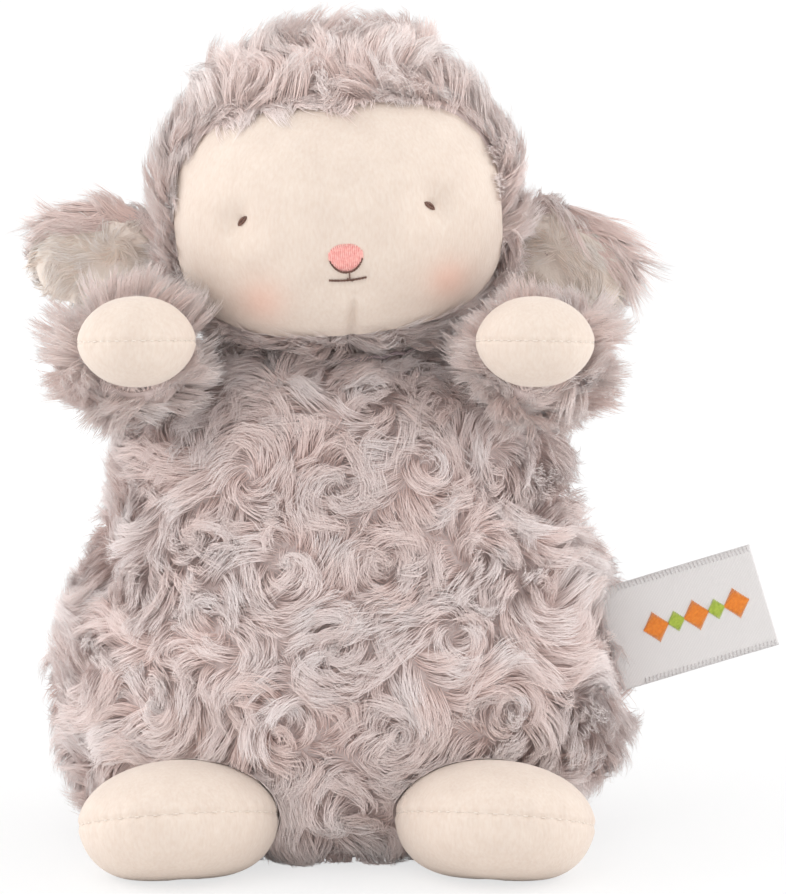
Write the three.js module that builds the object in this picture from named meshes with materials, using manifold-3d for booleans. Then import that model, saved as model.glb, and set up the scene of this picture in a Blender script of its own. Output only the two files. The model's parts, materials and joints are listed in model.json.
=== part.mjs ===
// A plush lamb that sits upright with its hands raised beside its cheeks.
// Millimetres, +Z up. It faces -Y, so its own left side is +X. The origin is the centre of its
// flat seat, on the surface it sits on. Each solid is the cloth or filling of one sewn piece.
import * as THREE from "three";
import { mergeVertices } from "three/addons/utils/BufferGeometryUtils.js";
import Module from "manifold-3d";

const wasm = await Module();
wasm.setup();

// Cloth and the clearances between pieces
const FUR_CLOTH = 6; // backing with its pile lying down
const VELOUR = 2;
const CLEARANCE = 0.3; // between pieces sewn or stuffed together
const SWING_GAP = 0.5; // between a limb and what it moves against
const STITCH_HEIGHT = 0.8;

// Torso: a pear with a flat seat, widest at the belly, with a dome for shoulders
const SEAT_RADIUS = 46;
const BELLY_RADIUS = 69.5;
const BELLY_HEIGHT = 40;
const TORSO_HALF_DEPTH = 54;
const WAIST_RADIUS = 54.5;
const WAIST_HEIGHT = 90;
const TORSO_HEIGHT = 125;
// Rosettes of the body's fur: mounds in staggered rows, with valleys let in between them
const ROSETTE_ROW = 19; // height from one row to the next
const ROSETTES_AROUND = 14;
const ROSETTE_DEPTH = 3.6;
const ROSETTE_WANDER = 3; // how far they stray up and down from their rows
const ROSETTE_FADE = 16; // they flatten out over this length at the feet, the neck and the seams
const POUCH_RADIUS = 33;
const POUCH_HEIGHT = 20;

// Head: as deep as it is high, so it can nod in its dish
const HEAD_HALF_WIDTH = 43.5;
const HEAD_RADIUS = 40;
const HEAD_ROLL = -4.7; // degrees, its left side up
const NECK_SINK = 11; // how far the head sits below the top of the torso
const NECK_GAP = 2.4;
const NECK_SEAM_RADIUS = 20;
const NECK_THREAD = 1;

// Face: a velour panel over a fuller cheek, framed by the hood
const FACE_HALF_WIDTH = 38.3;
const FACE_ABOVE = 25.8; // from the head's centre to the brow
const FACE_BELOW = 28.3; // and to the chin
const FACE_SQUARENESS = 3.2;
const CHEEK_HALF_WIDTH = 39.5;
const CHEEK_HALF_HEIGHT = 35;
const CHEEK_REACH = 43; // from the head's centre to the muzzle
const CHEEK_DROP = 3;
const FACE_SET = 12; // the opening in the hood ends this far in front of the head's centre

// Stitched features, as they stand on the face
const MUZZLE_SHIFT = 1.5;
const NOSE_WIDTH = 8;
const NOSE_HEIGHT = 6.5;
const NOSE_DROP = 8;
const NOSE_EDGE = 0.9;
const MOUTH_WIDTH = 8.6;
const MOUTH_THREAD = 1;
const MOUTH_DROP = 13.8;
const EYE_SPREAD = 21.5;
const EYE_RISE = 1.2;
const EYE_WIDTH = 1.6;
const EYE_HEIGHT = 4.4;
const EYE_SLANT = 18; // degrees

// Ears: leaves sewn to the sides of the hood
const EAR_LENGTH = 34;
const EAR_ROOT = 3; // of its length, sewn into the hood
const EAR_WIDTH = 25;
const EAR_THICKNESS = 9;
const EAR_BORDER = 3.5;
const EAR_BACK = 9; // behind the head's centre
const EAR_DROP = 9; // below it
const EAR_TILT = 28; // degrees, how far the lining looks down
const LEFT_EAR_DROOP = 35;
const RIGHT_EAR_DROOP = 4;
const EAR_FLOP = [-20, 0, 20]; // degrees, forward is negative

// Arms: a sleeve on a round shoulder, and a velour hand
const SHOULDER_DROP = 18; // below the top of the torso
const SHOULDER_HEIGHT = TORSO_HEIGHT - SHOULDER_DROP;
const SHOULDER_TURN = 22; // degrees from the side towards the front
const SHOULDER_RADIUS = 14.5;
const SHOULDER_SINK = 7.5;
const CUFF_RADIUS = 16;
const CUFF_ROUND = 7;
const SLEEVE_LENGTH = 32;
const HAND_REACH = 39;
const HAND_HALF_WIDTH = 13.8;
const HAND_HALF_LENGTH = 13;
const HAND_HALF_HEIGHT = 10.4;
const ARM_RAISE = 24; // degrees
const ARM_INWARD = 5.3;
const ARM_SWING = [-35, 0, 15]; // degrees, up is positive

// Feet: plump ovals against the front of the torso, toes turned out
const ANKLE_HEIGHT = 14;
const ANKLE_TURN = 34; // degrees from the front towards the side
const ANKLE_INSET = 8;
const FOOT_SPLAY = 22; // degrees
const FOOT_FORWARD = 13;
const FOOT_HEEL = 1; // in front of the ankle
const FOOT_HALF_WIDTH = 23.4;
const FOOT_HALF_LENGTH = 25;
const FOOT_HALF_HEIGHT = 14.5;
const FOOT_SEAM_HEIGHT = 13.5;
const FOOT_LIFT = 0.3; // the soles clear the surface that the seat stands on
const FOOT_TILT = [-12, 0, 16]; // degrees, toes up is positive

// Side label: a folded ribbon in the left side seam
const LABEL_LENGTH = 34;
const LABEL_WIDTH = 25.4;
const LABEL_THICKNESS = 1;
const LABEL_HEIGHT = 48;
const LABEL_RISE = 17; // degrees
const LABEL_GAP = 0.8; // lets its root fold against the seam

// Facets
const TORSO_SIDES = 24;
const ARC_STEPS = 4;
const COAT_SIDES = 56;
const COAT_STEPS = 8;
const HEAD_SIDES = 22;
const LIMB_SIDES = 14;
const SMALL_SIDES = 10;
const RINGS_PER_SIDE = 0.6;
const OUTLINE_POINTS = 32;
const MERGE_DISTANCE = 1e-4;
const SPAN = 400; // longer than the toy, for cutting planes

const QUARTER_TURN = Math.PI / 2;
const X_AXIS = new THREE.Vector3(1, 0, 0);
const Z_AXIS = new THREE.Vector3(0, 0, 1);
const radians = THREE.MathUtils.degToRad;

const fur = cloth("#bfaeab", 0.95);
const velour = cloth("#f1e3d5", 0.9);
const filling = cloth("#f5f4f0", 1);
const pouchCloth = cloth("#e6e2da", 0.95);
const pinkThread = cloth("#e6918b", 0.6);
const brownThread = cloth("#5b3b31", 0.7);
const seamThread = cloth("#a8969a", 0.8);
const ribbon = cloth("#dedbd9", 0.55);

function cloth(color, roughness) {
  return new THREE.MeshStandardMaterial({ color, roughness, metalness: 0 });
}

// A closed geometry as a solid: shared corners are merged and the slivers at its poles dropped.
function solid(geometry) {
  const bare = geometry.clone();
  bare.deleteAttribute("normal");
  bare.deleteAttribute("uv");
  const merged = mergeVertices(bare, MERGE_DISTANCE);
  const corners = merged.index.array;
  const triVerts = [];
  for (let i = 0; i < corners.length; i += 3) {
    const [a, b, c] = corners.slice(i, i + 3);
    if (a !== b && b !== c && c !== a) triVerts.push(a, b, c);
  }
  const mesh = new wasm.Mesh({
    numProp: 3,
    vertProperties: merged.attributes.position.array,
    triVerts: Uint32Array.from(triVerts),
  });
  return new wasm.Manifold(mesh);
}

// A named mesh of a solid.
function piece(name, material, shape) {
  const { vertProperties, triVerts } = shape.getMesh();
  const geometry = new THREE.BufferGeometry();
  geometry.setAttribute("position", new THREE.BufferAttribute(vertProperties, 3));
  geometry.setIndex(new THREE.BufferAttribute(triVerts, 1));
  geometry.computeVertexNormals();
  const mesh = new THREE.Mesh(geometry, material);
  mesh.name = name;
  return mesh;
}

// An ellipsoid with its poles along Z.
function ellipsoid(halfX, halfY, halfZ, centre, sides) {
  const geometry = new THREE.SphereGeometry(1, sides, ringsFor(sides));
  geometry.rotateX(QUARTER_TURN).scale(halfX, halfY, halfZ);
  return geometry.translate(centre.x, centre.y, centre.z);
}

function ringsFor(sides) {
  return Math.round(sides * RINGS_PER_SIDE);
}

// A ball's room to turn: its flats, not its corners, lie at the radius.
function ballRoom(radius, centre) {
  const flat = Math.cos(Math.PI / LIMB_SIDES) * Math.cos(QUARTER_TURN / ringsFor(LIMB_SIDES));
  const half = radius / flat;
  return solid(ellipsoid(half, half, half, centre, LIMB_SIDES));
}

// A solid of revolution about Z from (radius, height) points that start and end on the axis.
function turned(points, sides) {
  return new THREE.LatheGeometry(points, sides).rotateX(QUARTER_TURN);
}

// Everything on one side of a plane square to an axis: above it, or below it where side is -1.
function beyond(axis, place, side) {
  const centre = new THREE.Vector3();
  centre[axis] = place + (side * SPAN) / 2;
  return solid(new THREE.BoxGeometry(SPAN, SPAN, SPAN).translate(centre.x, centre.y, centre.z));
}

// An outline in X and Z carried along Y from the front to where the face is set in the hood.
function prism(shape) {
  const geometry = new THREE.ExtrudeGeometry(shape, { depth: SPAN, bevelEnabled: false });
  return solid(geometry.rotateX(QUARTER_TURN).translate(0, -FACE_SET, 0));
}

// The frame of a group, turned about its own origin by an angle of its joint.
function turnedFrame(group, axis, degrees) {
  group.updateMatrix();
  const place = group.position;
  const frame = new THREE.Matrix4().makeTranslation(place.x, place.y, place.z);
  frame.multiply(new THREE.Matrix4().makeRotationAxis(axis, radians(degrees)));
  frame.multiply(new THREE.Matrix4().makeTranslation(-place.x, -place.y, -place.z));
  return frame.multiply(group.matrix);
}

// What a limb has to stay clear of over its joint's travel, in the limb's own frame.
function sweptPast(geometry, group, axis, angles) {
  const stops = angles.map((degrees) => {
    const frame = turnedFrame(group, axis, degrees).invert();
    return solid(geometry.clone().applyMatrix4(frame));
  });
  return stops.reduce((all, stop) => all.add(stop));
}

// Torso

// Its profile, inset all round: seat, round to the belly, in to the waist, over the shoulders.
function torsoProfile(inset, steps) {
  const points = [new THREE.Vector2(0, inset)];
  for (let i = 0; i <= steps; i++) {
    const turn = (QUARTER_TURN * i) / steps;
    const radius = SEAT_RADIUS - inset + (BELLY_RADIUS - SEAT_RADIUS) * Math.sin(turn);
    points.push(new THREE.Vector2(radius, BELLY_HEIGHT - (BELLY_HEIGHT - inset) * Math.cos(turn)));
  }
  for (let i = 1; i <= steps; i++) {
    const height = THREE.MathUtils.lerp(BELLY_HEIGHT, WAIST_HEIGHT, i / steps);
    points.push(new THREE.Vector2(torsoRadius(height) - inset, height));
  }
  for (let i = 1; i < steps; i++) {
    const turn = (QUARTER_TURN * i) / steps;
    const rise = (TORSO_HEIGHT - inset - WAIST_HEIGHT) * Math.sin(turn);
    points.push(new THREE.Vector2((WAIST_RADIUS - inset) * Math.cos(turn), WAIST_HEIGHT + rise));
  }
  points.push(new THREE.Vector2(0, TORSO_HEIGHT - inset));
  return points;
}

// Its half width between the belly and the waist.
function torsoRadius(height) {
  const share = (height - BELLY_HEIGHT) / (WAIST_HEIGHT - BELLY_HEIGHT);
  return THREE.MathUtils.lerp(BELLY_RADIUS, WAIST_RADIUS, (1 - Math.cos(Math.PI * share)) / 2);
}

// The plain form of the torso, for what lies inside its fur.
function torsoGeometry(inset) {
  const depth = (TORSO_HALF_DEPTH - inset) / (BELLY_RADIUS - inset);
  return turned(torsoProfile(inset, ARC_STEPS), TORSO_SIDES).scale(1, depth, 1);
}

const DEPTH_SHARE = TORSO_HALF_DEPTH / BELLY_RADIUS;

// Its outside in finer facets, for the fur and for what moves against it.
function coatGeometry(grow) {
  const depth = (TORSO_HALF_DEPTH + grow) / (BELLY_RADIUS + grow);
  return turned(torsoProfile(-grow, COAT_STEPS), COAT_SIDES).scale(1, depth, 1);
}

// How deep the valleys between the rosettes are at a point of the torso.
function valleyDepth(x, y, z) {
  const turn = Math.atan2(y / DEPTH_SHARE, x);
  const row = (z + ROSETTE_WANDER * Math.sin(3 * turn)) / ROSETTE_ROW;
  const mound = (1 + Math.cos(ROSETTES_AROUND * turn) * Math.cos(Math.PI * row)) / 2;
  const ends = Math.min(z - ANKLE_HEIGHT, TORSO_HEIGHT - z, Math.abs(y));
  return ROSETTE_DEPTH * (1 - mound) * THREE.MathUtils.smoothstep(ends, 0, ROSETTE_FADE);
}

// The torso's outside with its rosettes: their tops keep its smooth outline.
function rosettes() {
  const geometry = coatGeometry(0);
  const { position, normal } = geometry.attributes;
  const place = new THREE.Vector3();
  const outward = new THREE.Vector3();
  for (let i = 0; i < position.count; i++) {
    place.fromBufferAttribute(position, i);
    outward.fromBufferAttribute(normal, i).normalize();
    place.addScaledVector(outward, -valleyDepth(place.x, place.y, place.z));
    position.setXYZ(i, place.x, place.y, place.z);
  }
  return geometry;
}

// The middle of a shoulder's ball, sunk into the dome of the torso.
function shoulderPlace(side) {
  const rise = SHOULDER_HEIGHT - WAIST_HEIGHT;
  const halves = new THREE.Vector3(WAIST_RADIUS, WAIST_RADIUS * DEPTH_SHARE, TORSO_HEIGHT - WAIST_HEIGHT);
  const level = Math.sqrt(1 - (rise / halves.z) ** 2);
  const turn = radians(SHOULDER_TURN);
  const onDome = new THREE.Vector3(Math.cos(turn) * level, -Math.sin(turn) * level, rise / halves.z);
  const place = onDome.clone().multiply(halves);
  const outward = onDome.clone().divide(halves).normalize();
  place.addScaledVector(outward, SHOULDER_RADIUS - SHOULDER_SINK);
  return new THREE.Vector3(side * place.x, place.y, WAIST_HEIGHT + place.z);
}

// The hinge of a foot, just inside the round of the belly.
function anklePlace(side) {
  const turn = Math.acos(1 - ANKLE_HEIGHT / BELLY_HEIGHT);
  const radius = SEAT_RADIUS + (BELLY_RADIUS - SEAT_RADIUS) * Math.sin(turn);
  const aim = radians(ANKLE_TURN);
  const onBelly = new THREE.Vector3(Math.sin(aim), -Math.cos(aim), 0);
  const halves = new THREE.Vector3(radius, radius * DEPTH_SHARE, 1);
  const place = onBelly.clone().multiply(halves);
  place.addScaledVector(onBelly.clone().divide(halves).normalize(), -ANKLE_INSET);
  return new THREE.Vector3(side * place.x, place.y, ANKLE_HEIGHT);
}

const head = new THREE.Group();
head.name = "head";
head.position.z = TORSO_HEIGHT + HEAD_RADIUS - NECK_SINK;
head.rotation.y = radians(HEAD_ROLL);
head.updateMatrix();

const ORIGIN = new THREE.Vector3();

function headGeometry(grow, sides) {
  const deep = HEAD_RADIUS + grow;
  return ellipsoid(HEAD_HALF_WIDTH + grow, deep, deep, ORIGIN, sides);
}

function buildTorso() {
  const torso = new THREE.Group();
  const dish = solid(headGeometry(NECK_GAP, HEAD_SIDES).applyMatrix4(head.matrix));
  const sockets = [-1, 1].map((side) => ballRoom(SHOULDER_RADIUS + SWING_GAP, shoulderPlace(side)));
  const hollows = sockets.reduce((all, socket) => all.add(socket), dish);
  const whole = solid(rosettes()).subtract(hollows);
  const pouch = pouchGeometry(0);
  const filled = solid(torsoGeometry(FUR_CLOTH + CLEARANCE)).subtract(hollows);
  const seat = whole.intersect(beyond("z", FUR_CLOTH, -1));
  const walls = whole.intersect(beyond("z", FUR_CLOTH + CLEARANCE, 1));
  const shell = walls.subtract(solid(torsoGeometry(FUR_CLOTH)));
  torso.add(piece("body_front_panel", fur, shell.intersect(beyond("y", -CLEARANCE / 2, -1))));
  torso.add(piece("body_back_panel", fur, shell.intersect(beyond("y", CLEARANCE / 2, 1))));
  torso.add(piece("seat_panel", fur, seat));
  torso.add(piece("body_stuffing", filling, filled.subtract(pouchGeometry(CLEARANCE))));
  torso.add(piece("pellet_pouch", pouchCloth, pouch));
  return torso;
}

// A domed bag of pellets, on the seat panel.
function pouchGeometry(grow) {
  const deep = POUCH_RADIUS * DEPTH_SHARE;
  const centre = new THREE.Vector3(0, 0, FUR_CLOTH);
  const bag = ellipsoid(POUCH_RADIUS + grow, deep + grow, POUCH_HEIGHT + grow, centre, LIMB_SIDES);
  return solid(bag).intersect(beyond("z", FUR_CLOTH + CLEARANCE - grow, 1));
}

// Neck: the thread that gathers the torso's opening to the head
function buildNeck() {
  const neck = new THREE.Group();
  neck.position.copy(head.position);
  neck.rotation.copy(head.rotation);
  const middle = HEAD_RADIUS + NECK_GAP / 2;
  const drop = Math.sqrt(middle ** 2 - NECK_SEAM_RADIUS ** 2);
  const section = [];
  for (let i = 0; i <= SMALL_SIDES / 2; i++) {
    const turn = (4 * QUARTER_TURN * i) / (SMALL_SIDES / 2);
    const radius = NECK_SEAM_RADIUS + (NECK_THREAD / 2) * Math.cos(turn);
    section.push(new THREE.Vector2(radius, (NECK_THREAD / 2) * Math.sin(turn) - drop));
  }
  const widen = (HEAD_HALF_WIDTH + NECK_GAP / 2) / middle;
  const ring = turned(section, HEAD_SIDES).scale(widen, 1, 1);
  neck.add(piece("neck_seam_thread", seamThread, solid(ring)));
  return neck;
}

// Head and face

// A rounded oval, squarer than an ellipse, with its own heights above and below its middle.
function faceOutline(inset) {
  const power = 2 / FACE_SQUARENESS;
  const points = [];
  for (let i = 0; i < OUTLINE_POINTS; i++) {
    const turn = (4 * QUARTER_TURN * i) / OUTLINE_POINTS;
    const across = Math.sign(Math.cos(turn)) * Math.abs(Math.cos(turn)) ** power;
    const up = Math.sign(Math.sin(turn)) * Math.abs(Math.sin(turn)) ** power;
    const height = up > 0 ? FACE_ABOVE : FACE_BELOW;
    points.push(new THREE.Vector2(across * (FACE_HALF_WIDTH - inset), up * (height - inset)));
  }
  return new THREE.Shape(points);
}

// The full cheeks that the face panel is stretched over.
function cheeks(grow) {
  const deep = HEAD_RADIUS + grow;
  const centre = new THREE.Vector3(0, HEAD_RADIUS - CHEEK_REACH, -CHEEK_DROP);
  const wide = CHEEK_HALF_WIDTH + grow;
  return solid(ellipsoid(wide, deep, CHEEK_HALF_HEIGHT + grow, centre, HEAD_SIDES));
}

// Stitches that lie on the face within an outline.
function stitched(outline) {
  const low = VELOUR + 2 * CLEARANCE;
  return cheeks(low + STITCH_HEIGHT).subtract(cheeks(low)).intersect(outline);
}

function noseOutline(grow) {
  const half = NOSE_WIDTH / 2 + grow;
  const top = NOSE_HEIGHT / 2 + grow;
  const shape = new THREE.Shape();
  shape.moveTo(0, -top);
  shape.quadraticCurveTo(half, -top / 4, half, top / 2);
  shape.quadraticCurveTo(half, top, 0, top);
  shape.quadraticCurveTo(-half, top, -half, top / 2);
  shape.quadraticCurveTo(-half, -top / 4, 0, -top);
  const points = shape.getPoints(SMALL_SIDES / 2);
  return new THREE.Shape(points.map((p) => p.add(new THREE.Vector2(MUZZLE_SHIFT, -NOSE_DROP))));
}

// A bar with square ends, drawn in X and Z.
function bar(centreX, centreZ, width, height) {
  const shape = new THREE.Shape();
  shape.moveTo(centreX - width / 2, centreZ - height / 2);
  shape.lineTo(centreX + width / 2, centreZ - height / 2);
  shape.lineTo(centreX + width / 2, centreZ + height / 2);
  shape.lineTo(centreX - width / 2, centreZ + height / 2);
  return shape;
}

function eyeOutline(side) {
  const shape = new THREE.Shape();
  const slant = radians(side * EYE_SLANT);
  const full = 4 * QUARTER_TURN;
  shape.absellipse(side * EYE_SPREAD, EYE_RISE, EYE_WIDTH / 2, EYE_HEIGHT / 2, 0, full, false, slant);
  return new THREE.Shape(shape.getPoints(SMALL_SIDES).slice(1));
}

function buildHead() {
  const inner = HEAD_RADIUS - FUR_CLOTH;
  const opening = prism(faceOutline(0));
  const plug = cheeks(0).intersect(prism(faceOutline(CLEARANCE)));
  const stuffing = solid(headGeometry(inner - HEAD_RADIUS - CLEARANCE, HEAD_SIDES)).add(plug);
  const hood = solid(headGeometry(0, HEAD_SIDES))
    .subtract(solid(headGeometry(inner - HEAD_RADIUS, HEAD_SIDES)))
    .subtract(opening);
  const veil = cheeks(VELOUR + CLEARANCE).subtract(cheeks(CLEARANCE));
  const face = veil.intersect(prism(faceOutline(CLEARANCE)));
  head.add(piece("hood_left_panel", fur, hood.intersect(beyond("x", CLEARANCE / 2, 1))));
  head.add(piece("hood_right_panel", fur, hood.intersect(beyond("x", -CLEARANCE / 2, -1))));
  head.add(piece("face_panel", velour, face));
  head.add(piece("head_stuffing", filling, stuffing));

  const noseLow = prism(noseOutline(NOSE_EDGE)).subtract(beyond("z", -NOSE_DROP, 1));
  const stemTop = NOSE_DROP + NOSE_HEIGHT / 2;
  const stemEnd = MOUTH_DROP - MOUTH_THREAD / 2 - CLEARANCE;
  const stem = prism(bar(MUZZLE_SHIFT, -(stemTop + stemEnd) / 2, NOSE_EDGE, stemEnd - stemTop));
  const edge = noseLow.add(stem).subtract(prism(noseOutline(CLEARANCE)));
  const mouth = prism(bar(MUZZLE_SHIFT, -MOUTH_DROP, MOUTH_WIDTH, MOUTH_THREAD));
  head.add(piece("nose_stitching", pinkThread, stitched(prism(noseOutline(0)))));
  head.add(piece("nose_edge_stitch", brownThread, stitched(edge)));
  head.add(piece("mouth_stitch", brownThread, stitched(mouth)));
  head.add(piece("left_eye_stitch", brownThread, stitched(prism(eyeOutline(1)))));
  head.add(piece("right_eye_stitch", brownThread, stitched(prism(eyeOutline(-1)))));
  head.add(buildEar("left", 1, LEFT_EAR_DROOP), buildEar("right", -1, RIGHT_EAR_DROOP));
}

// An ear, modelled outwards along X with its lining towards -Y.
function buildEar(name, side, droop) {
  const ear = new THREE.Group();
  const level = 1 - (EAR_BACK ** 2 + EAR_DROP ** 2) / HEAD_RADIUS ** 2;
  const root = HEAD_HALF_WIDTH * Math.sqrt(level) + CLEARANCE;
  ear.name = `${name}_ear`;
  ear.position.set(side * root, EAR_BACK, -EAR_DROP);
  ear.rotation.set(radians(EAR_TILT), radians(side * droop), 0, "YXZ");
  ear.updateMatrix();
  const axis = Z_AXIS.clone().transformDirection(ear.matrix);
  const angles = EAR_FLOP.map((degrees) => side * degrees);
  const skull = sweptPast(headGeometry(CLEARANCE, HEAD_SIDES), ear, axis, angles);
  const leaf = (inset, thickness) => {
    const half = EAR_LENGTH / 2 - inset;
    const centre = new THREE.Vector3(side * (EAR_LENGTH / 2 - EAR_ROOT), 0, 0);
    return solid(ellipsoid(half, thickness / 2, EAR_WIDTH / 2 - inset, centre, LIMB_SIDES));
  };
  const lining = leaf(EAR_BORDER, EAR_THICKNESS).intersect(beyond("y", -CLEARANCE, -1));
  const pocket = leaf(EAR_BORDER - CLEARANCE, 3 * EAR_THICKNESS).intersect(beyond("y", 0, -1));
  const back = leaf(0, EAR_THICKNESS).subtract(pocket);
  ear.add(piece(`${name}_ear_back`, fur, back.subtract(skull)));
  ear.add(piece(`${name}_ear_lining`, velour, lining.subtract(skull)));
  return ear;
}

// Arms, modelled forwards along -Y from the shoulder

// A sleeve's round form, inset all round, up to a given length.
function sleeveGeometry(inset, length) {
  const points = [];
  const root = SHOULDER_RADIUS - inset;
  const cuff = CUFF_RADIUS - inset;
  for (let i = 0; i <= ARC_STEPS; i++) {
    const turn = QUARTER_TURN * (i / ARC_STEPS - 1);
    points.push(new THREE.Vector2(Math.max(root * Math.cos(turn), 0), root * Math.sin(turn)));
  }
  for (let i = 0; i < ARC_STEPS; i++) {
    const turn = (QUARTER_TURN * i) / ARC_STEPS;
    const round = CUFF_ROUND * (1 - Math.cos(turn));
    points.push(new THREE.Vector2(cuff - round, length - CUFF_ROUND + CUFF_ROUND * Math.sin(turn)));
  }
  points[0].x = 0;
  points.push(new THREE.Vector2(0, length));
  return new THREE.LatheGeometry(points, LIMB_SIDES).rotateX(2 * QUARTER_TURN);
}

function hand(grow) {
  const centre = new THREE.Vector3(0, -HAND_REACH, 0);
  const wide = HAND_HALF_WIDTH + grow;
  return solid(ellipsoid(wide, HAND_HALF_LENGTH + grow, HAND_HALF_HEIGHT + grow, centre, LIMB_SIDES));
}

function buildArm(name, side) {
  const arm = new THREE.Group();
  arm.name = `${name}_arm`;
  arm.position.copy(shoulderPlace(side));
  arm.rotation.set(radians(-ARM_RAISE), 0, radians(-side * ARM_INWARD), "ZXY");
  const upwards = X_AXIS.clone().negate();
  const torso = sweptPast(coatGeometry(SWING_GAP), arm, upwards, ARM_SWING);
  const socket = ballRoom(SHOULDER_RADIUS, ORIGIN);
  const form = solid(sleeveGeometry(0, SLEEVE_LENGTH)).subtract(torso.subtract(socket));
  const core = solid(sleeveGeometry(FUR_CLOTH + CLEARANCE, HAND_REACH));
  const coreRoom = solid(sleeveGeometry(FUR_CLOTH, HAND_REACH + CLEARANCE));
  const handRoom = hand(-VELOUR);
  const glove = hand(0).subtract(handRoom).subtract(coreRoom);
  const sleeve = form.subtract(coreRoom).subtract(hand(CLEARANCE));
  arm.add(piece(`${name}_sleeve`, fur, sleeve));
  arm.add(piece(`${name}_hand_top`, velour, glove.intersect(beyond("z", CLEARANCE / 2, 1))));
  arm.add(piece(`${name}_hand_palm`, velour, glove.intersect(beyond("z", -CLEARANCE / 2, -1))));
  arm.add(piece(`${name}_arm_stuffing`, filling, core.add(hand(-VELOUR - CLEARANCE))));
  return arm;
}

// Feet, modelled forwards along -Y from the ankle
function buildFoot(name, side) {
  const foot = new THREE.Group();
  foot.name = `${name}_foot`;
  foot.position.copy(anklePlace(side));
  foot.rotation.z = radians(side * FOOT_SPLAY);
  foot.updateMatrix();
  const toesUp = X_AXIS.clone().negate().transformDirection(foot.matrix);
  const torso = sweptPast(coatGeometry(SWING_GAP), foot, toesUp, FOOT_TILT);
  const seam = FOOT_SEAM_HEIGHT - ANKLE_HEIGHT;
  const form = (grow) => {
    const centre = new THREE.Vector3(0, -FOOT_FORWARD, seam);
    const wide = FOOT_HALF_WIDTH + grow;
    const oval = ellipsoid(wide, FOOT_HALF_LENGTH + grow, FOOT_HALF_HEIGHT + grow, centre, LIMB_SIDES);
    const ground = FOOT_LIFT - ANKLE_HEIGHT - grow;
    return solid(oval).intersect(beyond("z", ground, 1));
  };
  const ahead = beyond("y", -FOOT_HEEL, -1).subtract(torso);
  const skin = form(0).subtract(form(-VELOUR)).intersect(ahead);
  foot.add(piece(`${name}_foot_top`, velour, skin.intersect(beyond("z", seam + CLEARANCE / 2, 1))));
  foot.add(piece(`${name}_foot_sole`, velour, skin.intersect(beyond("z", seam - CLEARANCE / 2, -1))));
  foot.add(piece(`${name}_foot_stuffing`, filling, form(-VELOUR - CLEARANCE).intersect(ahead)));
  return foot;
}

// Label, modelled outwards along X from the side seam
function buildLabel() {
  const label = new THREE.Group();
  label.name = "label";
  label.position.set(torsoRadius(LABEL_HEIGHT) + LABEL_GAP, 0, LABEL_HEIGHT);
  label.rotation.y = radians(-LABEL_RISE);
  const band = new THREE.BoxGeometry(LABEL_LENGTH, LABEL_THICKNESS, LABEL_WIDTH);
  band.translate(LABEL_LENGTH / 2, 0, 0);
  label.add(piece("side_label", ribbon, solid(band)));
  return label;
}

const lamb = new THREE.Group();
buildHead();
lamb.add(buildTorso(), buildNeck(), head);
lamb.add(buildArm("left", 1), buildArm("right", -1));
lamb.add(buildFoot("left", 1), buildFoot("right", -1));
lamb.add(buildLabel());

export default lamb;
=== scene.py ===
"""The looks of a plush lamb: swirled pile, velour face, hands and feet, and a woven label."""
import json
import math
from dataclasses import dataclass

import bmesh
import bpy
import numpy as np
from mathutils import Matrix, Vector, kdtree


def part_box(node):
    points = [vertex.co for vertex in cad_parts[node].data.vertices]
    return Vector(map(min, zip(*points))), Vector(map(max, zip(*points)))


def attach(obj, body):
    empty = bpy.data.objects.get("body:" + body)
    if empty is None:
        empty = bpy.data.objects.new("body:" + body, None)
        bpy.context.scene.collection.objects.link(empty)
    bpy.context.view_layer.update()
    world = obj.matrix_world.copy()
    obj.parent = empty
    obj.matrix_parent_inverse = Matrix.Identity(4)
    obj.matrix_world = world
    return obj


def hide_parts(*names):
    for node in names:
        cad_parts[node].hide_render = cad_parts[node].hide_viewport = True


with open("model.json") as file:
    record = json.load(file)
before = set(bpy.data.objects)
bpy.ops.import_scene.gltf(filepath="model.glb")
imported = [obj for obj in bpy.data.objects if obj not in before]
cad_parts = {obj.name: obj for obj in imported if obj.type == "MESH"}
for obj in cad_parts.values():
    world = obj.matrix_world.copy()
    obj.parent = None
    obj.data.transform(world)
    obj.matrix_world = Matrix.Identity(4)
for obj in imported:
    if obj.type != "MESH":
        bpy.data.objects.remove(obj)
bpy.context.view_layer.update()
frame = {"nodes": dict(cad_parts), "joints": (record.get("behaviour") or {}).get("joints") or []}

# Sizes are in millimetres, in the frame's axes: the lamb faces -Y and its own left side is +X.
MM = 0.001
SEED = 11
FLOOR_GAP = 0.4

# Torso
SEAT_RADIUS = 46
BELLY_RADIUS = 69.5
BELLY_HEIGHT = 40
TORSO_HALF_DEPTH = 54
WAIST_RADIUS = 54.5
WAIST_HEIGHT = 90
TORSO_HEIGHT = 125
BODY_PILE_DEPTH = 4.5
ROSETTE_ROW = 19
ROSETTES_AROUND = 14
ROSETTE_WANDER = 3
LEFT_FULLNESS = 4.5
RIGHT_FULLNESS = 3
FLAT_AT_LABEL = 3.6
LABEL_ZONE = (47, 13)
TORSO_BOX = ([-72, -58, 1.6], [72, 58, 121])
BACKING = 1.1

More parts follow.
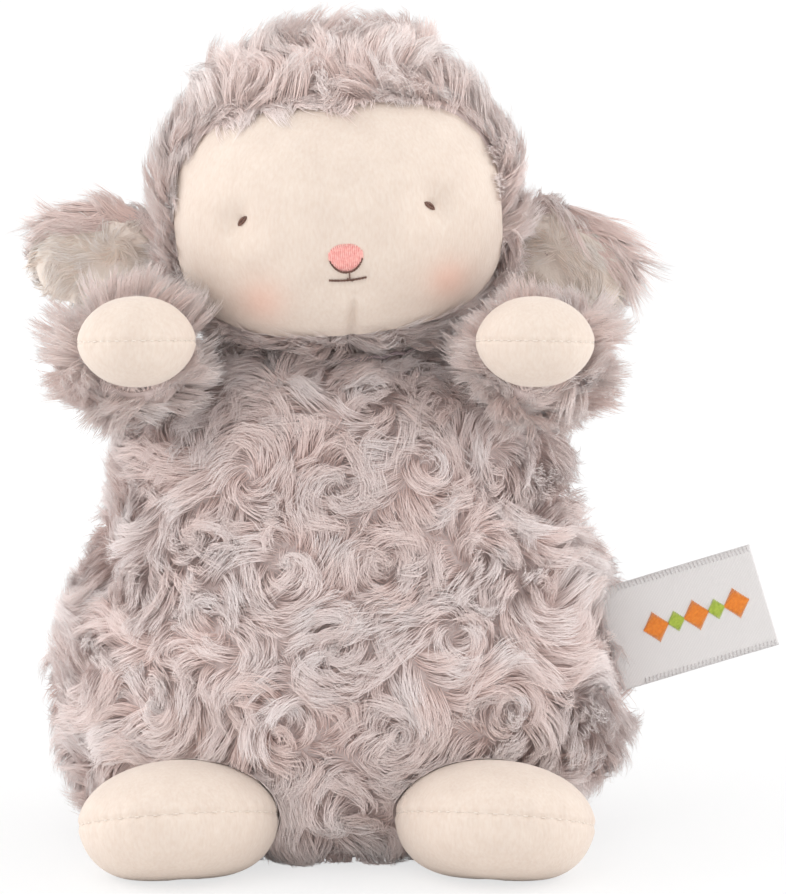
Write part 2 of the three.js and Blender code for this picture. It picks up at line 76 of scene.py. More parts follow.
# Head and face
HEAD_HALF = np.array([43.5, 40, 40])
HOOD_PILE_DEPTH = 3.5
HOOD_RIM_DEPTH = 1.8
FACE_HALF_WIDTH = 38.3
FACE_ABOVE = 25.8
FACE_BELOW = 28.3
SQUARE_ABOVE = 3.0
SQUARE_BELOW = 3.6
CHEEK_CENTRE = np.array([0, -3, -3])
CHEEK_HALF = np.array([41.8, 42.3, 37.3])
FACE_HEM = 7
FACE_TUCK = 2.2
EYE_PLACES = [(-21.3, 0.8), (21.7, 0.8)]
EYE_DENT = 3
EYE_DENT_REACH = 4.8
EYE_PIT = 0.9
EYE_PIT_REACH = 1.3
EYE_FOLD = 0.7
EYE_LENGTH = 3.5
EYE_SLANT = 44.8
NOSE_PLACE = (1.6, -8)
NOSE_WIDTH = 8
NOSE_HEIGHT = 6.8
MOUTH_DROP = 13.8
MOUTH_WIDTH = 8.6
MOUTH_DENT = 0.5
DART_TOP = (2.9, -16)
DART_BOTTOM = (1.2, -28)
DART_SWELL = 1.1
DART_CREASE = 2.2
BLUSH_PLACES = [(-18.8, -18.2, 5.4), (24.6, -17, 4.8)]
BLUSH_STRENGTH = 0.4

# Ears, arms and feet, each in the frame of its joint
EAR_CENTRE = 15
EAR_HALF = np.array([17, 4.5, 12.5])
EAR_DROOP = {"left": 8, "right": 3}
EAR_PILE_DEPTH = 1.5
EAR_SET_BACK = 1.2
LINING_CENTRE = np.array([17.5, 0, -1.5])
LINING_HALF = np.array([14.5, 4.5, 11])
LINING_LEAN = 0.25
LINING_FRONT = 2.6
LINING_EDGE = 2.2
LINING_CUP = 1.6
LINING_FOLD = 2.2
LINING_CLOTH_DEPTH = 0.9
LINING_PLUSH_DEPTH = 2.4
ARM_RAISE = 24
ARM_INWARD = 5.3
SLEEVE_ROOT = 14.5
SLEEVE_CUFF = 16
SLEEVE_LENGTH = 32
SLEEVE_PILE_DEPTH = 4
SLEEVE_LESS_BELOW = 6
CUFF_ROUND_FROM = 20
CUFF_ROUND_REACH = 14
CUFF_FUR = (8, 27)
HAND_CENTRE = np.array([0, -39, 0])
HAND_HALF = np.array([13.8, 13, 10.4])
HAND_TURN = 14
FOOT_CENTRE = np.array([0, -13, -0.5])
FOOT_HALF = np.array([23.4, 25, 14])
FOOT_LEAN = -14
FOOT_ROLL = 10
VELOUR = 1.6

# Side label
LABEL_LENGTH = 34
LABEL_TUCK = 5
LABEL_WIDTH = 25.4
LABEL_LAYERS = 0.7
RIBBON = 0.22
MOTIF_FIRST = 7
MOTIF_STEP = 5
ORANGE_HALF = 3.2
GREEN_HALF = 2.2
SELVEDGE_STEP = 0.95

# Inside
LUMP_SIZE = 9
LUMP_DEPTH = 1.6
NECK_STITCHES = 24
NECK_THREAD = 0.45

# View: a long lens, a little above the lamb
CAMERA_DISTANCE = 1500
CAMERA_ELEVATION = 10
VIEW_CENTRE = (13.1, 0, 93.7)
VIEW_HEIGHT = 212.86
SENSOR = 36
FARTHEST_SEEN_M = 20

# Light and floor: each sun has its strength, its spread in degrees and the way to it
SKY = 0.86
FLOOR_SIZE_M = 12
FLOOR_GREY = 0.92
FLOOR_GLOW = 0.7
SUNS = {
    "key": (0.5, 40, (-25, -50, 62)),
    "right_side": (1.4, 60, (-90, 0, 30)),
    "left_side": (1.4, 60, (90, 0, 30)),
}

# Strands
STRAND_RINGS = 4
STRANDS_IN_A_PIECE = 9000

joints = {joint["name"]: joint for joint in frame["joints"]}


def joint_place(name):
    return np.array(joints[name]["pos_m"]) / MM


def turn(axis, degrees):
    return np.array(Matrix.Rotation(math.radians(degrees), 3, axis))


def degrees_of(sine, cosine):
    return math.degrees(math.atan2(sine, cosine))


class Place:
    """A frame of its own: points go from it to the lamb's frame and back."""

    def __init__(self, origin, axes):
        self.origin = np.asarray(origin, float)
        self.axes = axes

    def out(self, points):
        return np.asarray(points, float) @ self.axes.T + self.origin

    def back(self, points):
        return (points - self.origin) @ self.axes

    def along(self, vectors):
        return np.asarray(vectors, float) @ self.axes.T


def head_place():
    axis = joints["head_turn"]["axis"]
    return Place(joint_place("head_turn"), turn("Y", degrees_of(axis[0], axis[2])))


def ear_place(name, side):
    x, y, z = np.array(joints[f"{name}_ear_flop"]["axis"]) * side
    axes = turn("Y", degrees_of(x, z) + EAR_DROOP[name]) @ turn("X", degrees_of(-y, math.hypot(x, z)))
    return Place(joint_place(f"{name}_ear_flop"), axes)


def arm_place(name, side):
    axes = turn("Z", -side * ARM_INWARD) @ turn("X", -ARM_RAISE)
    return Place(joint_place(f"{name}_arm_swing"), axes)


def foot_place(name, side):
    """The foot's own frame, at its middle: splayed, toes up and its outer side down."""
    x, y, _ = joints[f"{name}_foot_tilt"]["axis"]
    splay = turn("Z", degrees_of(-y, -x))
    middle = joint_place(f"{name}_foot_tilt") + splay @ FOOT_CENTRE
    return Place(middle, splay @ turn("Y", side * FOOT_ROLL) @ turn("X", FOOT_LEAN))


def label_place():
    x, _, z = joints["label_flap"]["axis"]
    return Place(joint_place("label_flap"), turn("Y", degrees_of(x, z)))


SIDES = {"left": 1, "right": -1}
HEAD = head_place()
EARS = {name: ear_place(name, side) for name, side in SIDES.items()}
ARMS = {name: arm_place(name, side) for name, side in SIDES.items()}
HANDS = {
    name: Place(arm.out(HAND_CENTRE), arm.axes @ turn("X", HAND_TURN)) for name, arm in ARMS.items()
}
FEET = {name: foot_place(name, side) for name, side in SIDES.items()}
LABEL = label_place()


# Fields: each is zero on a surface, negative inside it, and about as large as the distance

def torso_radius(height, inset):
    low = np.clip((BELLY_HEIGHT - height) / (BELLY_HEIGHT - inset), 0, 1)
    base = SEAT_RADIUS - inset + (BELLY_RADIUS - SEAT_RADIUS) * np.sqrt(1 - low**2)
    share = np.clip((height - BELLY_HEIGHT) / (WAIST_HEIGHT - BELLY_HEIGHT), 0, 1)
    drawn_in = (BELLY_RADIUS - WAIST_RADIUS) * (1 - np.cos(np.pi * share)) / 2
    high = np.clip((height - WAIST_HEIGHT) / (TORSO_HEIGHT - inset - WAIST_HEIGHT), 0, 1)
    dome = (WAIST_RADIUS - inset) * np.sqrt(1 - high**2)
    upper = np.where(height < WAIST_HEIGHT, BELLY_RADIUS - inset - drawn_in, dome)
    return np.where(height < BELLY_HEIGHT, base, upper)


def torso_field(inset):
    depth = (TORSO_HALF_DEPTH - inset) / (BELLY_RADIUS - inset)

    def field(points):
        across = np.hypot(points[:, 0], points[:, 1] / depth)
        return across - torso_radius(points[:, 2], inset)

    return field


def ellipsoid_field(place, centre, half):
    def field(points):
        local = (place.back(points) - centre) / half
        return (np.linalg.norm(local, axis=1) - 1) * half.min()

    return field


def sleeve_field(place, inset):
    """A tapered tube with round ends, from the shoulder to the cuff."""
    run = SLEEVE_LENGTH - SLEEVE_CUFF + inset

    def field(points):
        local = place.back(points)
        share = np.clip(-local[:, 1] / run, 0, 1)
        local[:, 1] += share * run
        radius = SLEEVE_ROOT + (SLEEVE_CUFF - SLEEVE_ROOT) * share - inset
        return np.linalg.norm(local, axis=1) - radius

    return field


def slope_of(field, points, step=0.05):
    slope = np.empty_like(points)
    for axis, shift in enumerate(np.eye(3) * step):
        slope[:, axis] = (field(points + shift) - field(points - shift)) / (2 * step)
    return slope


def settle(field, points, rounds=3):
    """Points moved onto the surface of a field, and the outward normals there."""
    for _ in range(rounds):
        slope = slope_of(field, points)
        points = points - slope * (field(points) / (slope**2).sum(axis=1))[:, None]
    return points, unit(slope_of(field, points))


def push_out(points, fields):
    """Points inside any of the fields moved to its surface."""
    shape = points.shape
    points = points.reshape(-1, 3).copy()
    for field in fields:
        inside = field(points) < 0
        if inside.any():
            points[inside], _ = settle(field, points[inside], rounds=2)
    points[:, 2] = np.maximum(points[:, 2], FLOOR_GAP)
    return points.reshape(shape)


def unit(vectors):
    return vectors / np.maximum(np.linalg.norm(vectors, axis=-1, keepdims=True), 1e-9)


def smooth(share):
    """From 0 to 1 as the share does, with soft ends and level outside them."""
    share = np.clip(share, 0, 1)
    return share * share * (3 - 2 * share)


def sprinkle(field, box, density, random):
    """Points spread evenly over the surface of a field, and their normals."""
    low, high = box
    band = 1.0
    count = int(np.prod(np.subtract(high, low)) * density / (2 * band))
    points = random.uniform(low, high, (count, 3))
    points = points[np.abs(field(points)) < 3 * band]
    distance = field(points) / np.linalg.norm(slope_of(field, points), axis=1)
    return settle(field, points[np.abs(distance) < band])


def spread_out(points, spacing):
    """The first of these points that keep a distance from each other, as indices."""
    kept = []
    for i, point in enumerate(points):
        if not kept or np.linalg.norm(points[kept] - point, axis=1).min() > spacing:
            kept.append(i)
    return kept


# Materials

def material(name, roughness, sheen=0.0, specular=0.5):
    """A material with a Principled shader, and the means to add nodes to it."""
    made = bpy.data.materials.new(name)
    made.use_nodes = True
    tree = made.node_tree
    shader = tree.nodes["Principled BSDF"]
    shader.inputs["Roughness"].default_value = roughness
    shader.inputs["Sheen Weight"].default_value = sheen
    shader.inputs["Specular IOR Level"].default_value = specular
    return made, tree, shader


def node(tree, kind, values=(), **settings):
    made = tree.nodes.new(f"ShaderNode{kind}")
    for name, value in settings.items():
        setattr(made, name, value)
    for name, value in dict(values).items():
        made.inputs[name].default_value = value
    return made


def colour(code):
    """A linear colour from its usual six-digit code."""
    parts = [int(code[i:i + 2], 16) / 255 for i in (1, 3, 5)]
    linear = [p / 12.92 if p <= 0.04045 else ((p + 0.055) / 1.055) ** 2.4 for p in parts]
    return (*linear, 1)


def noise(tree, scale, detail=3, stretch=None):
    """Noise in the object's own metres; stretch scales its axes."""
    places = node(tree, "TexCoord").outputs["Object"]
    if stretch:
        mapping = node(tree, "Mapping", {"Scale": stretch})
        tree.links.new(places, mapping.inputs["Vector"])
        places = mapping.outputs["Vector"]
    made = node(tree, "TexNoise", {"Scale": scale, "Detail": detail})
    tree.links.new(places, made.inputs["Vector"])
    return made.outputs["Fac"]


def ramp(tree, source, stops):
    made = node(tree, "ValToRGB")
    elements = made.color_ramp.elements
    while len(elements) < len(stops):
        elements.new(0.5)
    for element, (place, code) in zip(elements, stops):
        element.position = place
        element.color = colour(code)
    tree.links.new(source, made.inputs["Fac"])
    return made.outputs["Color"]


def mixed(tree, kind, share, first, second):
    """Two colours mixed; each of share, first and second is a socket or a plain value."""
    made = node(tree, "Mix", data_type="RGBA", blend_type=kind)
    for name, value in (("Factor", share), ("A", first), ("B", second)):
        socket = next(s for s in made.inputs if s.name == name and s.enabled)
        if isinstance(value, bpy.types.NodeSocket):
            tree.links.new(value, socket)
        else:
            socket.default_value = value
    return next(s for s in made.outputs if s.enabled)


def bump(tree, shader, height, strength, distance):
    made = node(tree, "Bump", {"Strength": strength, "Distance": distance * MM})
    tree.links.new(height, made.inputs["Height"])
    tree.links.new(made.outputs["Normal"], shader.inputs["Normal"])


def pile_material(name, stops, tints, roughness):
    """Strands: colour along each from root to tip, each lock and strand a little different. The darker,
    warmer roots are painted shade in the hollows of the pile, and the paler tips are painted light.
    """
    made, tree, shader = material(name, roughness, sheen=0.8, specular=0.25)
    strand = node(tree, "Attribute", attribute_name="strand")
    parts = node(tree, "SeparateColor")
    tree.links.new(strand.outputs["Color"], parts.inputs["Color"])
    # Darker at the root, paler at the tip: painted shade deep in the pile and painted light on its tips.
    along = ramp(tree, parts.outputs["Red"], stops)
    lock = ramp(tree, parts.outputs["Blue"], [(0, tints[0]), (1, tints[1])])
    each = ramp(tree, parts.outputs["Green"], [(0, "#f2f0f0"), (1, "#ffffff")])
    tinted = mixed(tree, "MULTIPLY", 1.0, along, lock)
    tree.links.new(mixed(tree, "MULTIPLY", 1.0, tinted, each), shader.inputs["Base Color"])
    return made


def cloth_material(name, stops, scale, sheen):
    """A backing or filling cloth: mottled, with a fine grain."""
    made, tree, shader = material(name, roughness=0.95, sheen=sheen)
    mottle = noise(tree, scale)
    tree.links.new(ramp(tree, mottle, stops), shader.inputs["Base Color"])
    bump(tree, shader, noise(tree, scale=1800), strength=0.4, distance=0.3)
    return made


def velour_material():
    """Cream velour: a short brushed nap with soft mottling, and blush where the cloth has it."""
    made, tree, shader = material("cream_velour", roughness=0.9, sheen=0.2, specular=0.2)
    mottle = ramp(tree, noise(tree, scale=140, detail=4), [(0.3, "#ddcec2"), (0.7, "#e3d5c9")])
    nap = noise(tree, scale=900, stretch=(1.6, 1.6, 0.6))
    shade = ramp(tree, nap, [(0.3, "#f9f5f2"), (0.7, "#ffffff")])
    cream = mixed(tree, "MULTIPLY", 1.0, mottle, shade)
    blush = node(tree, "Attribute", attribute_name="blush")
    rosy = mixed(tree, "MIX", blush.outputs["Fac"], cream, colour("#f2b49e"))
    tree.links.new(rosy, shader.inputs["Base Color"])
    bump(tree, shader, nap, strength=0.35, distance=0.35)
    return made


def thread_material(name, dark, light):
    made, tree, shader = material(name, roughness=0.5, sheen=0.2, specular=0.4)
    plies = noise(tree, scale=1500, detail=2)
    tree.links.new(ramp(tree, plies, [(0.3, dark), (0.7, light)]), shader.inputs["Base Color"])
    return made


def ribbon_material():
    """Satin ribbon: fine ribs across its length, with a soft shine."""
    made, tree, shader = material("label_ribbon", roughness=0.42, sheen=0.1, specular=0.5)
    places = node(tree, "TexCoord").outputs["UV"]
    ribs = node(tree, "TexWave", {"Scale": 30, "Distortion": 0.6, "Detail": 2}, bands_direction="X")
    tree.links.new(places, ribs.inputs["Vector"])
    shade = ramp(tree, ribs.outputs["Fac"], [(0, "#d8d5d4"), (1, "#e4e1e0")])
    tree.links.new(shade, shader.inputs["Base Color"])
    bump(tree, shader, ribs.outputs["Fac"], strength=0.3, distance=0.12)
    return made


# Each ramp runs from root to tip: its darker root is painted shade in the pile's hollows, and its paler tip
# is painted light.
FUR = pile_material(
    "mauve_fur",
    [(0, "#e6d0c9"), (0.35, "#f9ebe7"), (1, "#fffaf8")],
    tints=("#f9ece8", "#fffdfd"),
    roughness=0.65,
)
# A lighter copy of the mauve fur for the hood, ears and sleeves: painted light, where the same fur catches
# more light than on the body.
LIT_FUR = pile_material(
    "lit_mauve_fur",
    [(0, "#f2e2dc"), (0.4, "#fceee9"), (1, "#fffaf8")],
    tints=("#fbeeea", "#fffcfb"),
    roughness=0.65,
)
PLUSH = pile_material(
    "cream_plush",
    [(0, "#f8ebdf"), (0.5, "#fff6ee"), (1, "#fffdfa")],
    tints=("#fff7f0", "#ffffff"),
    roughness=0.75,
)
BACKING_CLOTH = cloth_material("fur_backing", [(0.3, "#c9b6b2"), (0.7, "#dac8c4")], scale=300, sheen=0.2)
FIBRE = cloth_material("fibre_filling", [(0.3, "#ebe9e4"), (0.7, "#faf9f6")], scale=220, sheen=0.3)
POUCH_CLOTH = cloth_material("pouch_cloth", [(0.3, "#ddd8ce"), (0.7, "#e9e5dc")], scale=500, sheen=0.1)
VELOUR_CLOTH = velour_material()
# A lighter copy of the velour's cream for the ear linings: painted light, where the same cream lies in the
# shade of the ear's hollow.
LIT_LINING_CLOTH = cloth_material("ear_lining", [(0.3, "#f6e9dd"), (0.7, "#fdf3e9")], scale=140, sheen=0.2)
PINK_THREAD = thread_material("pink_thread", "#eb9c95", "#f7beb6")
BROWN_THREAD = thread_material("brown_thread", "#5a3a2e", "#7d594a")
SEAM_THREAD = thread_material("seam_thread", "#9c8a8d", "#b4a3a6")
GREY_THREAD = thread_material("grey_thread", "#c9c5c4", "#dedada")
CREAM_THREAD = thread_material("cream_thread", "#e0d1c5", "#eadfd4")
ORANGE_THREAD = thread_material("orange_thread", "#e8801a", "#f79a35")
GREEN_THREAD = thread_material("green_thread", "#a5bd38", "#c3d45a")
RIBBON_CLOTH = ribbon_material()


# Meshes

def add(piece, body, slot, *nodes):
    """Hangs a piece from the body that it rides and hides the nodes that it stands for; the slot is not used.
    """
    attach(piece, body)
    if nodes:
        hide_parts(*nodes)
    return piece


def linked(name, mesh, made):
    mesh.materials.append(made)
    piece = bpy.data.objects.new(name, mesh)
    bpy.context.scene.collection.objects.link(piece)
    return piece


def mesh_piece(name, points, faces, made):
    """A smooth mesh of points in millimetres; points that fall together are merged."""
    mesh = bpy.data.meshes.new(name)
    mesh.from_pydata((np.asarray(points) * MM).tolist(), [], [list(map(int, f)) for f in faces])
    build = bmesh.new()
    build.from_mesh(mesh)
    bmesh.ops.remove_doubles(build, verts=build.verts, dist=1e-6)
    bmesh.ops.recalc_face_normals(build, faces=build.faces)
    build.to_mesh(mesh)
    build.free()
    mesh.shade_smooth()
    return linked(name, mesh, made)


def grid_faces(rows, columns, wrap):
    """Quads over rows of points, joined round where wrap is true."""
    across = np.arange(columns if wrap else columns - 1)
    beside = (across + 1) % columns
    start = np.arange(rows - 1)[:, None] * columns
    corners = [start + across, start + beside, start + columns + beside, start + columns + across]
    return np.stack(corners, axis=-1).reshape(-1, 4)


def panel(name, grid, wrap, made, thickness):
    """A cloth panel from rows of outer points, given its thickness inwards."""
    rows, columns = grid.shape[:2]
    piece = mesh_piece(name, grid.reshape(-1, 3), grid_faces(rows, columns, wrap), made)
    centre = grid.reshape(-1, 3).mean(axis=0) * MM
    face_out(piece.data, centre)
    cloth = piece.modifiers.new("cloth", "SOLIDIFY")
    cloth.thickness = thickness * MM
    cloth.offset = -1
    return piece


def face_out(mesh, centre):
    """Turns an open panel's faces away from a point behind it."""
    outward = sum((f.center - Vector(centre)).dot(f.normal) * f.area for f in mesh.polygons)
    if outward < 0:
        mesh.flip_normals()


def tube(path, radius, sides=6):
    """Points and faces of a closed tube along a path; radius may change along it."""
    path = np.asarray(path, float)
    tangents = unit(np.gradient(path, axis=0))
    guide = np.array([0, 1, 0]) if abs(tangents[0, 1]) < 0.8 else np.array([0, 0, 1])
    side = unit(np.cross(tangents, guide))
    up = np.cross(side, tangents)
    angles = np.linspace(0, 2 * np.pi, sides, endpoint=False)
    ring = np.cos(angles)[:, None] * side[:, None] + np.sin(angles)[:, None] * up[:, None]
    radius = np.broadcast_to(np.asarray(radius, float), len(path))
    points = path[:, None] + ring * radius[:, None, None]
    faces = [list(f) for f in grid_faces(len(path), sides, True)]
    last = (len(path) - 1) * sides
    faces += [list(range(sides))[::-1], list(range(last, last + sides))]
    return points.reshape(-1, 3), faces


def joined(parts):
    """Several sets of points and faces as one."""
    points, faces, count = [], [], 0
    for some_points, some_faces in parts:
        points.append(some_points)
        faces += [[i + count for i in face] for face in some_faces]
        count += len(some_points)
    return np.concatenate(points), faces


def ply(path, radius, pitch):
    """Two plies twisted along a path, as parts for joined."""
    path = np.asarray(path, float)
    run = np.concatenate([[0], np.cumsum(np.linalg.norm(np.diff(path, axis=0), axis=1))])
    steps = np.linspace(0, run[-1], max(8, int(run[-1] / pitch * 8)))
    line = np.stack([np.interp(steps, run, path[:, i]) for i in range(3)], axis=1)
    tangents = unit(np.gradient(line, axis=0))
    side = unit(np.cross(tangents, [0.0, 1.0, 0.0]))
    up = np.cross(side, tangents)
    parts = []
    for start in (0, np.pi):
        angle = start + 2 * np.pi * steps / pitch
        shift = np.cos(angle)[:, None] * side + np.sin(angle)[:, None] * up
        parts.append(tube(line + shift * radius * 0.5, radius * 0.58))
    return parts


# Pile: strands grown on a form, laid in whorls and drawn into locks

@dataclass
class Pile:
    density: float  # strands per square millimetre
    length: float  # of a lock, from root to tip
    lift: float  # how high the tips lie over the backing
    whorl_spacing: float = 20
    whorl_share: float = 1.0  # against the drift
    relief: float = 0.0  # how far the pile swells round each whorl
    mound: object = None  # where it swells, from 0 to 1, where the form has set rosettes
    bulk: object = None  # how much higher or lower it stands than elsewhere, in millimetres
    locks: float = 0.3  # locks per square millimetre
    tuft_spacing: float = 4.4
    gather: float = 0.45  # how far the locks of a tuft draw together at the tip
    clump: float = 0.7  # how far the strands of a lock do
    sway: float = 20.0  # how much the lie differs from tuft to tuft, in degrees
    curl: float = 30.0  # how much a tuft bends to one side along its length, in degrees
    cling: float = 1.0  # 1 lies along the form, 0 runs free of it
    sag: float = 0.0  # how far the tips hang, against the length
    width: float = 0.22  # of a strand at its root
    stray: float = 0.6  # how far the tips stray from their lock


def whorls_on(points, style, random):
    """Middles of whorls with their spin and pull: on set rosettes, or spread over the form."""
    if style.mound:
        tops = style.mound(points)
        points = points[np.argsort(-tops)][: np.count_nonzero(tops > 0.8)]
        kept = spread_out(points, style.whorl_spacing * 0.75)
    else:
        points = points[:4000]
        kept = spread_out(points, style.whorl_spacing)
    spins = random.choice([-1.0, 1.0], len(kept))
    pulls = random.uniform(-0.4, 0.55, len(kept))
    return list(zip(points[kept], spins, pulls))


def swell(points, whorls, style):
    """The height of the pile: full round each whorl, low in its middle and between whorls."""
    centres = np.array([centre for centre, _, _ in whorls])
    away = np.min([np.linalg.norm(points - centre, axis=1) for centre in centres], axis=0)
    share = away / style.whorl_spacing
    full = style.mound(points) if style.mound else np.exp(-((share / 0.42) ** 2))
    height = style.relief * (full - 0.5 * np.exp(-((share / 0.11) ** 2)))
    return height + style.bulk(points) if style.bulk else height


def lie(points, normals, whorls, style, drift):
    """The way the pile lies at each point: round the whorls near it, and with the drift."""
    flow = drift * (1 - style.whorl_share * 0.8)
    reach = style.whorl_spacing * 0.5
    for centre, spin, pull in whorls:
        away = points - centre
        distance = np.linalg.norm(away, axis=1, keepdims=True)
        near = np.exp(-((distance / reach) ** 2)) * style.whorl_share
        away = away / np.maximum(distance, 0.3)
        flow = flow + near * (spin * np.cross(normals, away) + pull * away)
    flow = flow - normals * (flow * normals).sum(axis=1, keepdims=True)
    return unit(flow)


def lay_locks(field, roots, normals, whorls, style, drift_of, sways, curls, lifts, random):
    """The middle line of each lock, from its root along the form and up."""
    length = style.length * random.uniform(0.75, 1.15, (len(roots), 1))
    lift = style.lift * lifts[:, None]
    paths = [roots]
    at, up = roots, normals
    for step in range(1, STRAND_RINGS + 1):
        share = step / STRAND_RINGS
        angle = (sways + curls * share)[:, None]
        way = lie(at, up, whorls, style, drift_of(at, up))
        way = way * np.cos(angle) + np.cross(up, way) * np.sin(angle)
        free = at + way * length / STRAND_RINGS
        free[:, 2] -= style.sag * share * length[:, 0] / STRAND_RINGS
        held, held_up = settle(field, free, rounds=2)
        at = held * style.cling + free * (1 - style.cling)
        up = unit(held_up * style.cling + up * (1 - style.cling))
        height = lift + swell(at, whorls, style)[:, None]
        paths.append(at + up * height * (1 - (1 - share) ** 2))
    return np.stack(paths, axis=1)


def nearest(points, targets):
    """For each point, the number of the target nearest to it."""
    tree = kdtree.KDTree(len(targets))
    for i, target in enumerate(targets):
        tree.insert(target, i)
    tree.balance()
    return np.array([tree.find(point)[1] for point in points])


def grow(field, box, keep, style, drift_of, obstacles, seed):
    """Strands over a form: their points, normals at the roots, and tints."""
    random = np.random.default_rng([SEED, seed])
    starts, ups = sprinkle(field, box, style.locks, random)
    chosen = keep(starts, ups)
    starts, ups = starts[chosen], ups[chosen]
    whorls = whorls_on(starts, style, random)
    leaders = np.array(spread_out(starts, style.tuft_spacing))
    tuft = nearest(starts, starts[leaders])
    sways = np.radians(random.normal(0, style.sway, len(leaders))[tuft]
                       + random.normal(0, style.sway * 0.4, len(starts)))
    curls = np.radians(random.normal(0, style.curl, len(leaders))[tuft])
    lifts = random.uniform(0.4, 1.25, len(leaders))[tuft] * random.uniform(0.85, 1.15, len(starts))
    paths = lay_locks(field, starts, ups, whorls, style, drift_of, sways, curls, lifts, random)
    drawn = style.gather * np.linspace(0, 1, STRAND_RINGS + 1)[None, :, None]
    paths = paths + (paths[leaders][tuft] - paths) * drawn

    roots, normals = sprinkle(field, box, style.density, random)
    chosen = keep(roots, normals)
    roots, normals = roots[chosen], normals[chosen]
    lock = nearest(roots, starts)
    count = len(roots)
    share = random.uniform(0.55, 1.0, (count, 1)) * np.linspace(0, 1, STRAND_RINGS + 1)
    step = np.clip(share * STRAND_RINGS, 0, STRAND_RINGS - 1e-6)
    before = step.astype(int)
    part = (step - before)[:, :, None]
    of_lock = paths[lock]
    each = np.arange(count)[:, None]
    points = of_lock[each, before] * (1 - part) + of_lock[each, before + 1] * part
    draw = style.clump * random.uniform(0.4, 1.1, (count, 1))
    spread = 1 - np.clip(draw, 0, 1) * share**0.8
    points = points + (roots - starts[lock])[:, None] * spread[:, :, None]
    stray = random.normal(0, style.stray, (count, 1, 3))
    points = points + stray * (share**1.5)[:, :, None]
    points = push_out(points, obstacles)
    tuft_tint = random.uniform(0, 1, len(leaders))[tuft][lock]
    return points, normals, np.stack([random.uniform(0, 1, count), tuft_tint], axis=1)


def strand_faces():
    """One strand's triangles: a closed three-sided spike."""
    faces = [(0, 1, 2)]
    for ring in range(STRAND_RINGS - 1):
        for corner in range(3):
            a = ring * 3 + corner
            b = ring * 3 + (corner + 1) % 3
            faces += [(b, a, b + 3), (b + 3, a, a + 3)]
    tip = STRAND_RINGS * 3
    for corner in range(3):
        faces.append((tip - 3 + (corner + 1) % 3, tip - 3 + corner, tip))
    return np.array(faces)


def strand_points(points, normals, width):
    """The corners of every strand, three at each ring and one at the tip."""
    tangents = unit(np.gradient(points, axis=1))
    side = unit(np.cross(tangents, normals[:, None]))
    up = np.cross(side, tangents)
    along = np.linspace(0, 1, STRAND_RINGS + 1)[:-1]
    radius = (width / 2 * (1 - 0.75 * along**2))[None, :, None]
    angles = np.radians([270, 30, 150])
    rings = [
        points[:, :-1] + radius * (math.cos(a) * side[:, :-1] + 0.6 * math.sin(a) * up[:, :-1])
        for a in angles
    ]
    rings = np.stack(rings, axis=2).reshape(len(points), -1, 3)
    return np.concatenate([rings, points[:, -1:]], axis=1)


def strand_piece(name, points, normals, tints, width, made):
    """One mesh of many strands, with their tints, a map for baking and softened normals."""
    corners = strand_points(points, normals, width)
    count, size = corners.shape[:2]
    pattern = strand_faces()
    faces = (pattern[None] + (np.arange(count) * size)[:, None, None]).reshape(-1)
    mesh = bpy.data.meshes.new(name)
    mesh.vertices.add(count * size)
    mesh.vertices.foreach_set("co", (corners * MM).astype(np.float32).ravel())
    mesh.loops.add(len(faces))
    mesh.loops.foreach_set("vertex_index", faces.astype(np.int32))
    mesh.polygons.add(len(faces) // 3)
    mesh.polygons.foreach_set("loop_start", np.arange(0, len(faces), 3, dtype=np.int32))
    mesh.update(calc_edges=True)
    mesh.shade_smooth()
    along = np.append(np.repeat(np.arange(STRAND_RINGS), 3), STRAND_RINGS) / STRAND_RINGS
    values = np.empty((count, size, 4), np.float32)
    values[:, :, 0] = along
    values[:, :, 1:3] = tints[:, None]
    values[:, :, 3] = 1
    mesh.attributes.new("strand", "FLOAT_COLOR", "POINT").data.foreach_set("color", values.ravel())
    cells = math.ceil(math.sqrt(count))
    corner = np.append(np.tile([0.2, 0.5, 0.8], STRAND_RINGS), 0.5)
    number = np.arange(count)[:, None]
    u = (number % cells + corner) / cells
    v = (number // cells + 0.1 + 0.8 * along) / cells
    places = np.stack([u, v], axis=-1).reshape(-1, 2)[faces]
    mesh.uv_layers.new(name="OFBake").uv.foreach_set("vector", places.astype(np.float32).ravel())
    middles = np.concatenate([np.repeat(points[:, :-1], 3, axis=1), points[:, -1:]], axis=1)
    toward = along[None, :, None]
    soft = unit(unit(corners - middles) + normals[:, None] * (0.8 - 0.4 * toward))
    mesh.normals_split_custom_set_from_vertices(soft.reshape(-1, 3).tolist())
    return linked(name, mesh, made)


def pile(name, body, slot, made, style, field, box, keep, drift_of, obstacles, seed):
    """All the pile of one panel, in pieces of a fair size, from the top down."""
    points, normals, tints = grow(field, box, keep, style, drift_of, obstacles, seed)
    order = np.argsort(-points[:, 0, 2], kind="stable")
    parts = math.ceil(len(order) / STRANDS_IN_A_PIECE)
    for number, chosen in enumerate(np.array_split(order, parts), 1):
        title = f"{name}_{number}" if parts > 1 else name
        piece = strand_piece(title, points[chosen], normals[chosen], tints[chosen], style.width, made)
        add(piece, body, slot)


# What the pile lies on or goes round

HEAD_FIELD = ellipsoid_field(HEAD, np.zeros(3), HEAD_HALF)
CHEEK_FIELD = ellipsoid_field(HEAD, CHEEK_CENTRE, CHEEK_HALF + 0.3)
HAND_FIELDS = [ellipsoid_field(hand, np.zeros(3), HAND_HALF + 0.1) for hand in HANDS.values()]
FOOT_FIELDS = [ellipsoid_field(foot, np.zeros(3), FOOT_HALF + 0.3) for foot in FEET.values()]
SLEEVE_FIELDS = [sleeve_field(arm, 0) for arm in ARMS.values()]


def outside_face(local, margin):
    """How far points in the head's frame lie outside the edge of the face, seen from the front."""
    angle = np.arctan2(local[:, 2], local[:, 0])
    away = np.hypot(local[:, 0], local[:, 2]) - face_reach(angle) - margin
    return np.where(local[:, 1] < 2, away, 100.0)


def face_field(points):
    """The face and what is behind it: only within its edge."""
    return np.maximum(CHEEK_FIELD(points), outside_face(HEAD.back(points), 0))


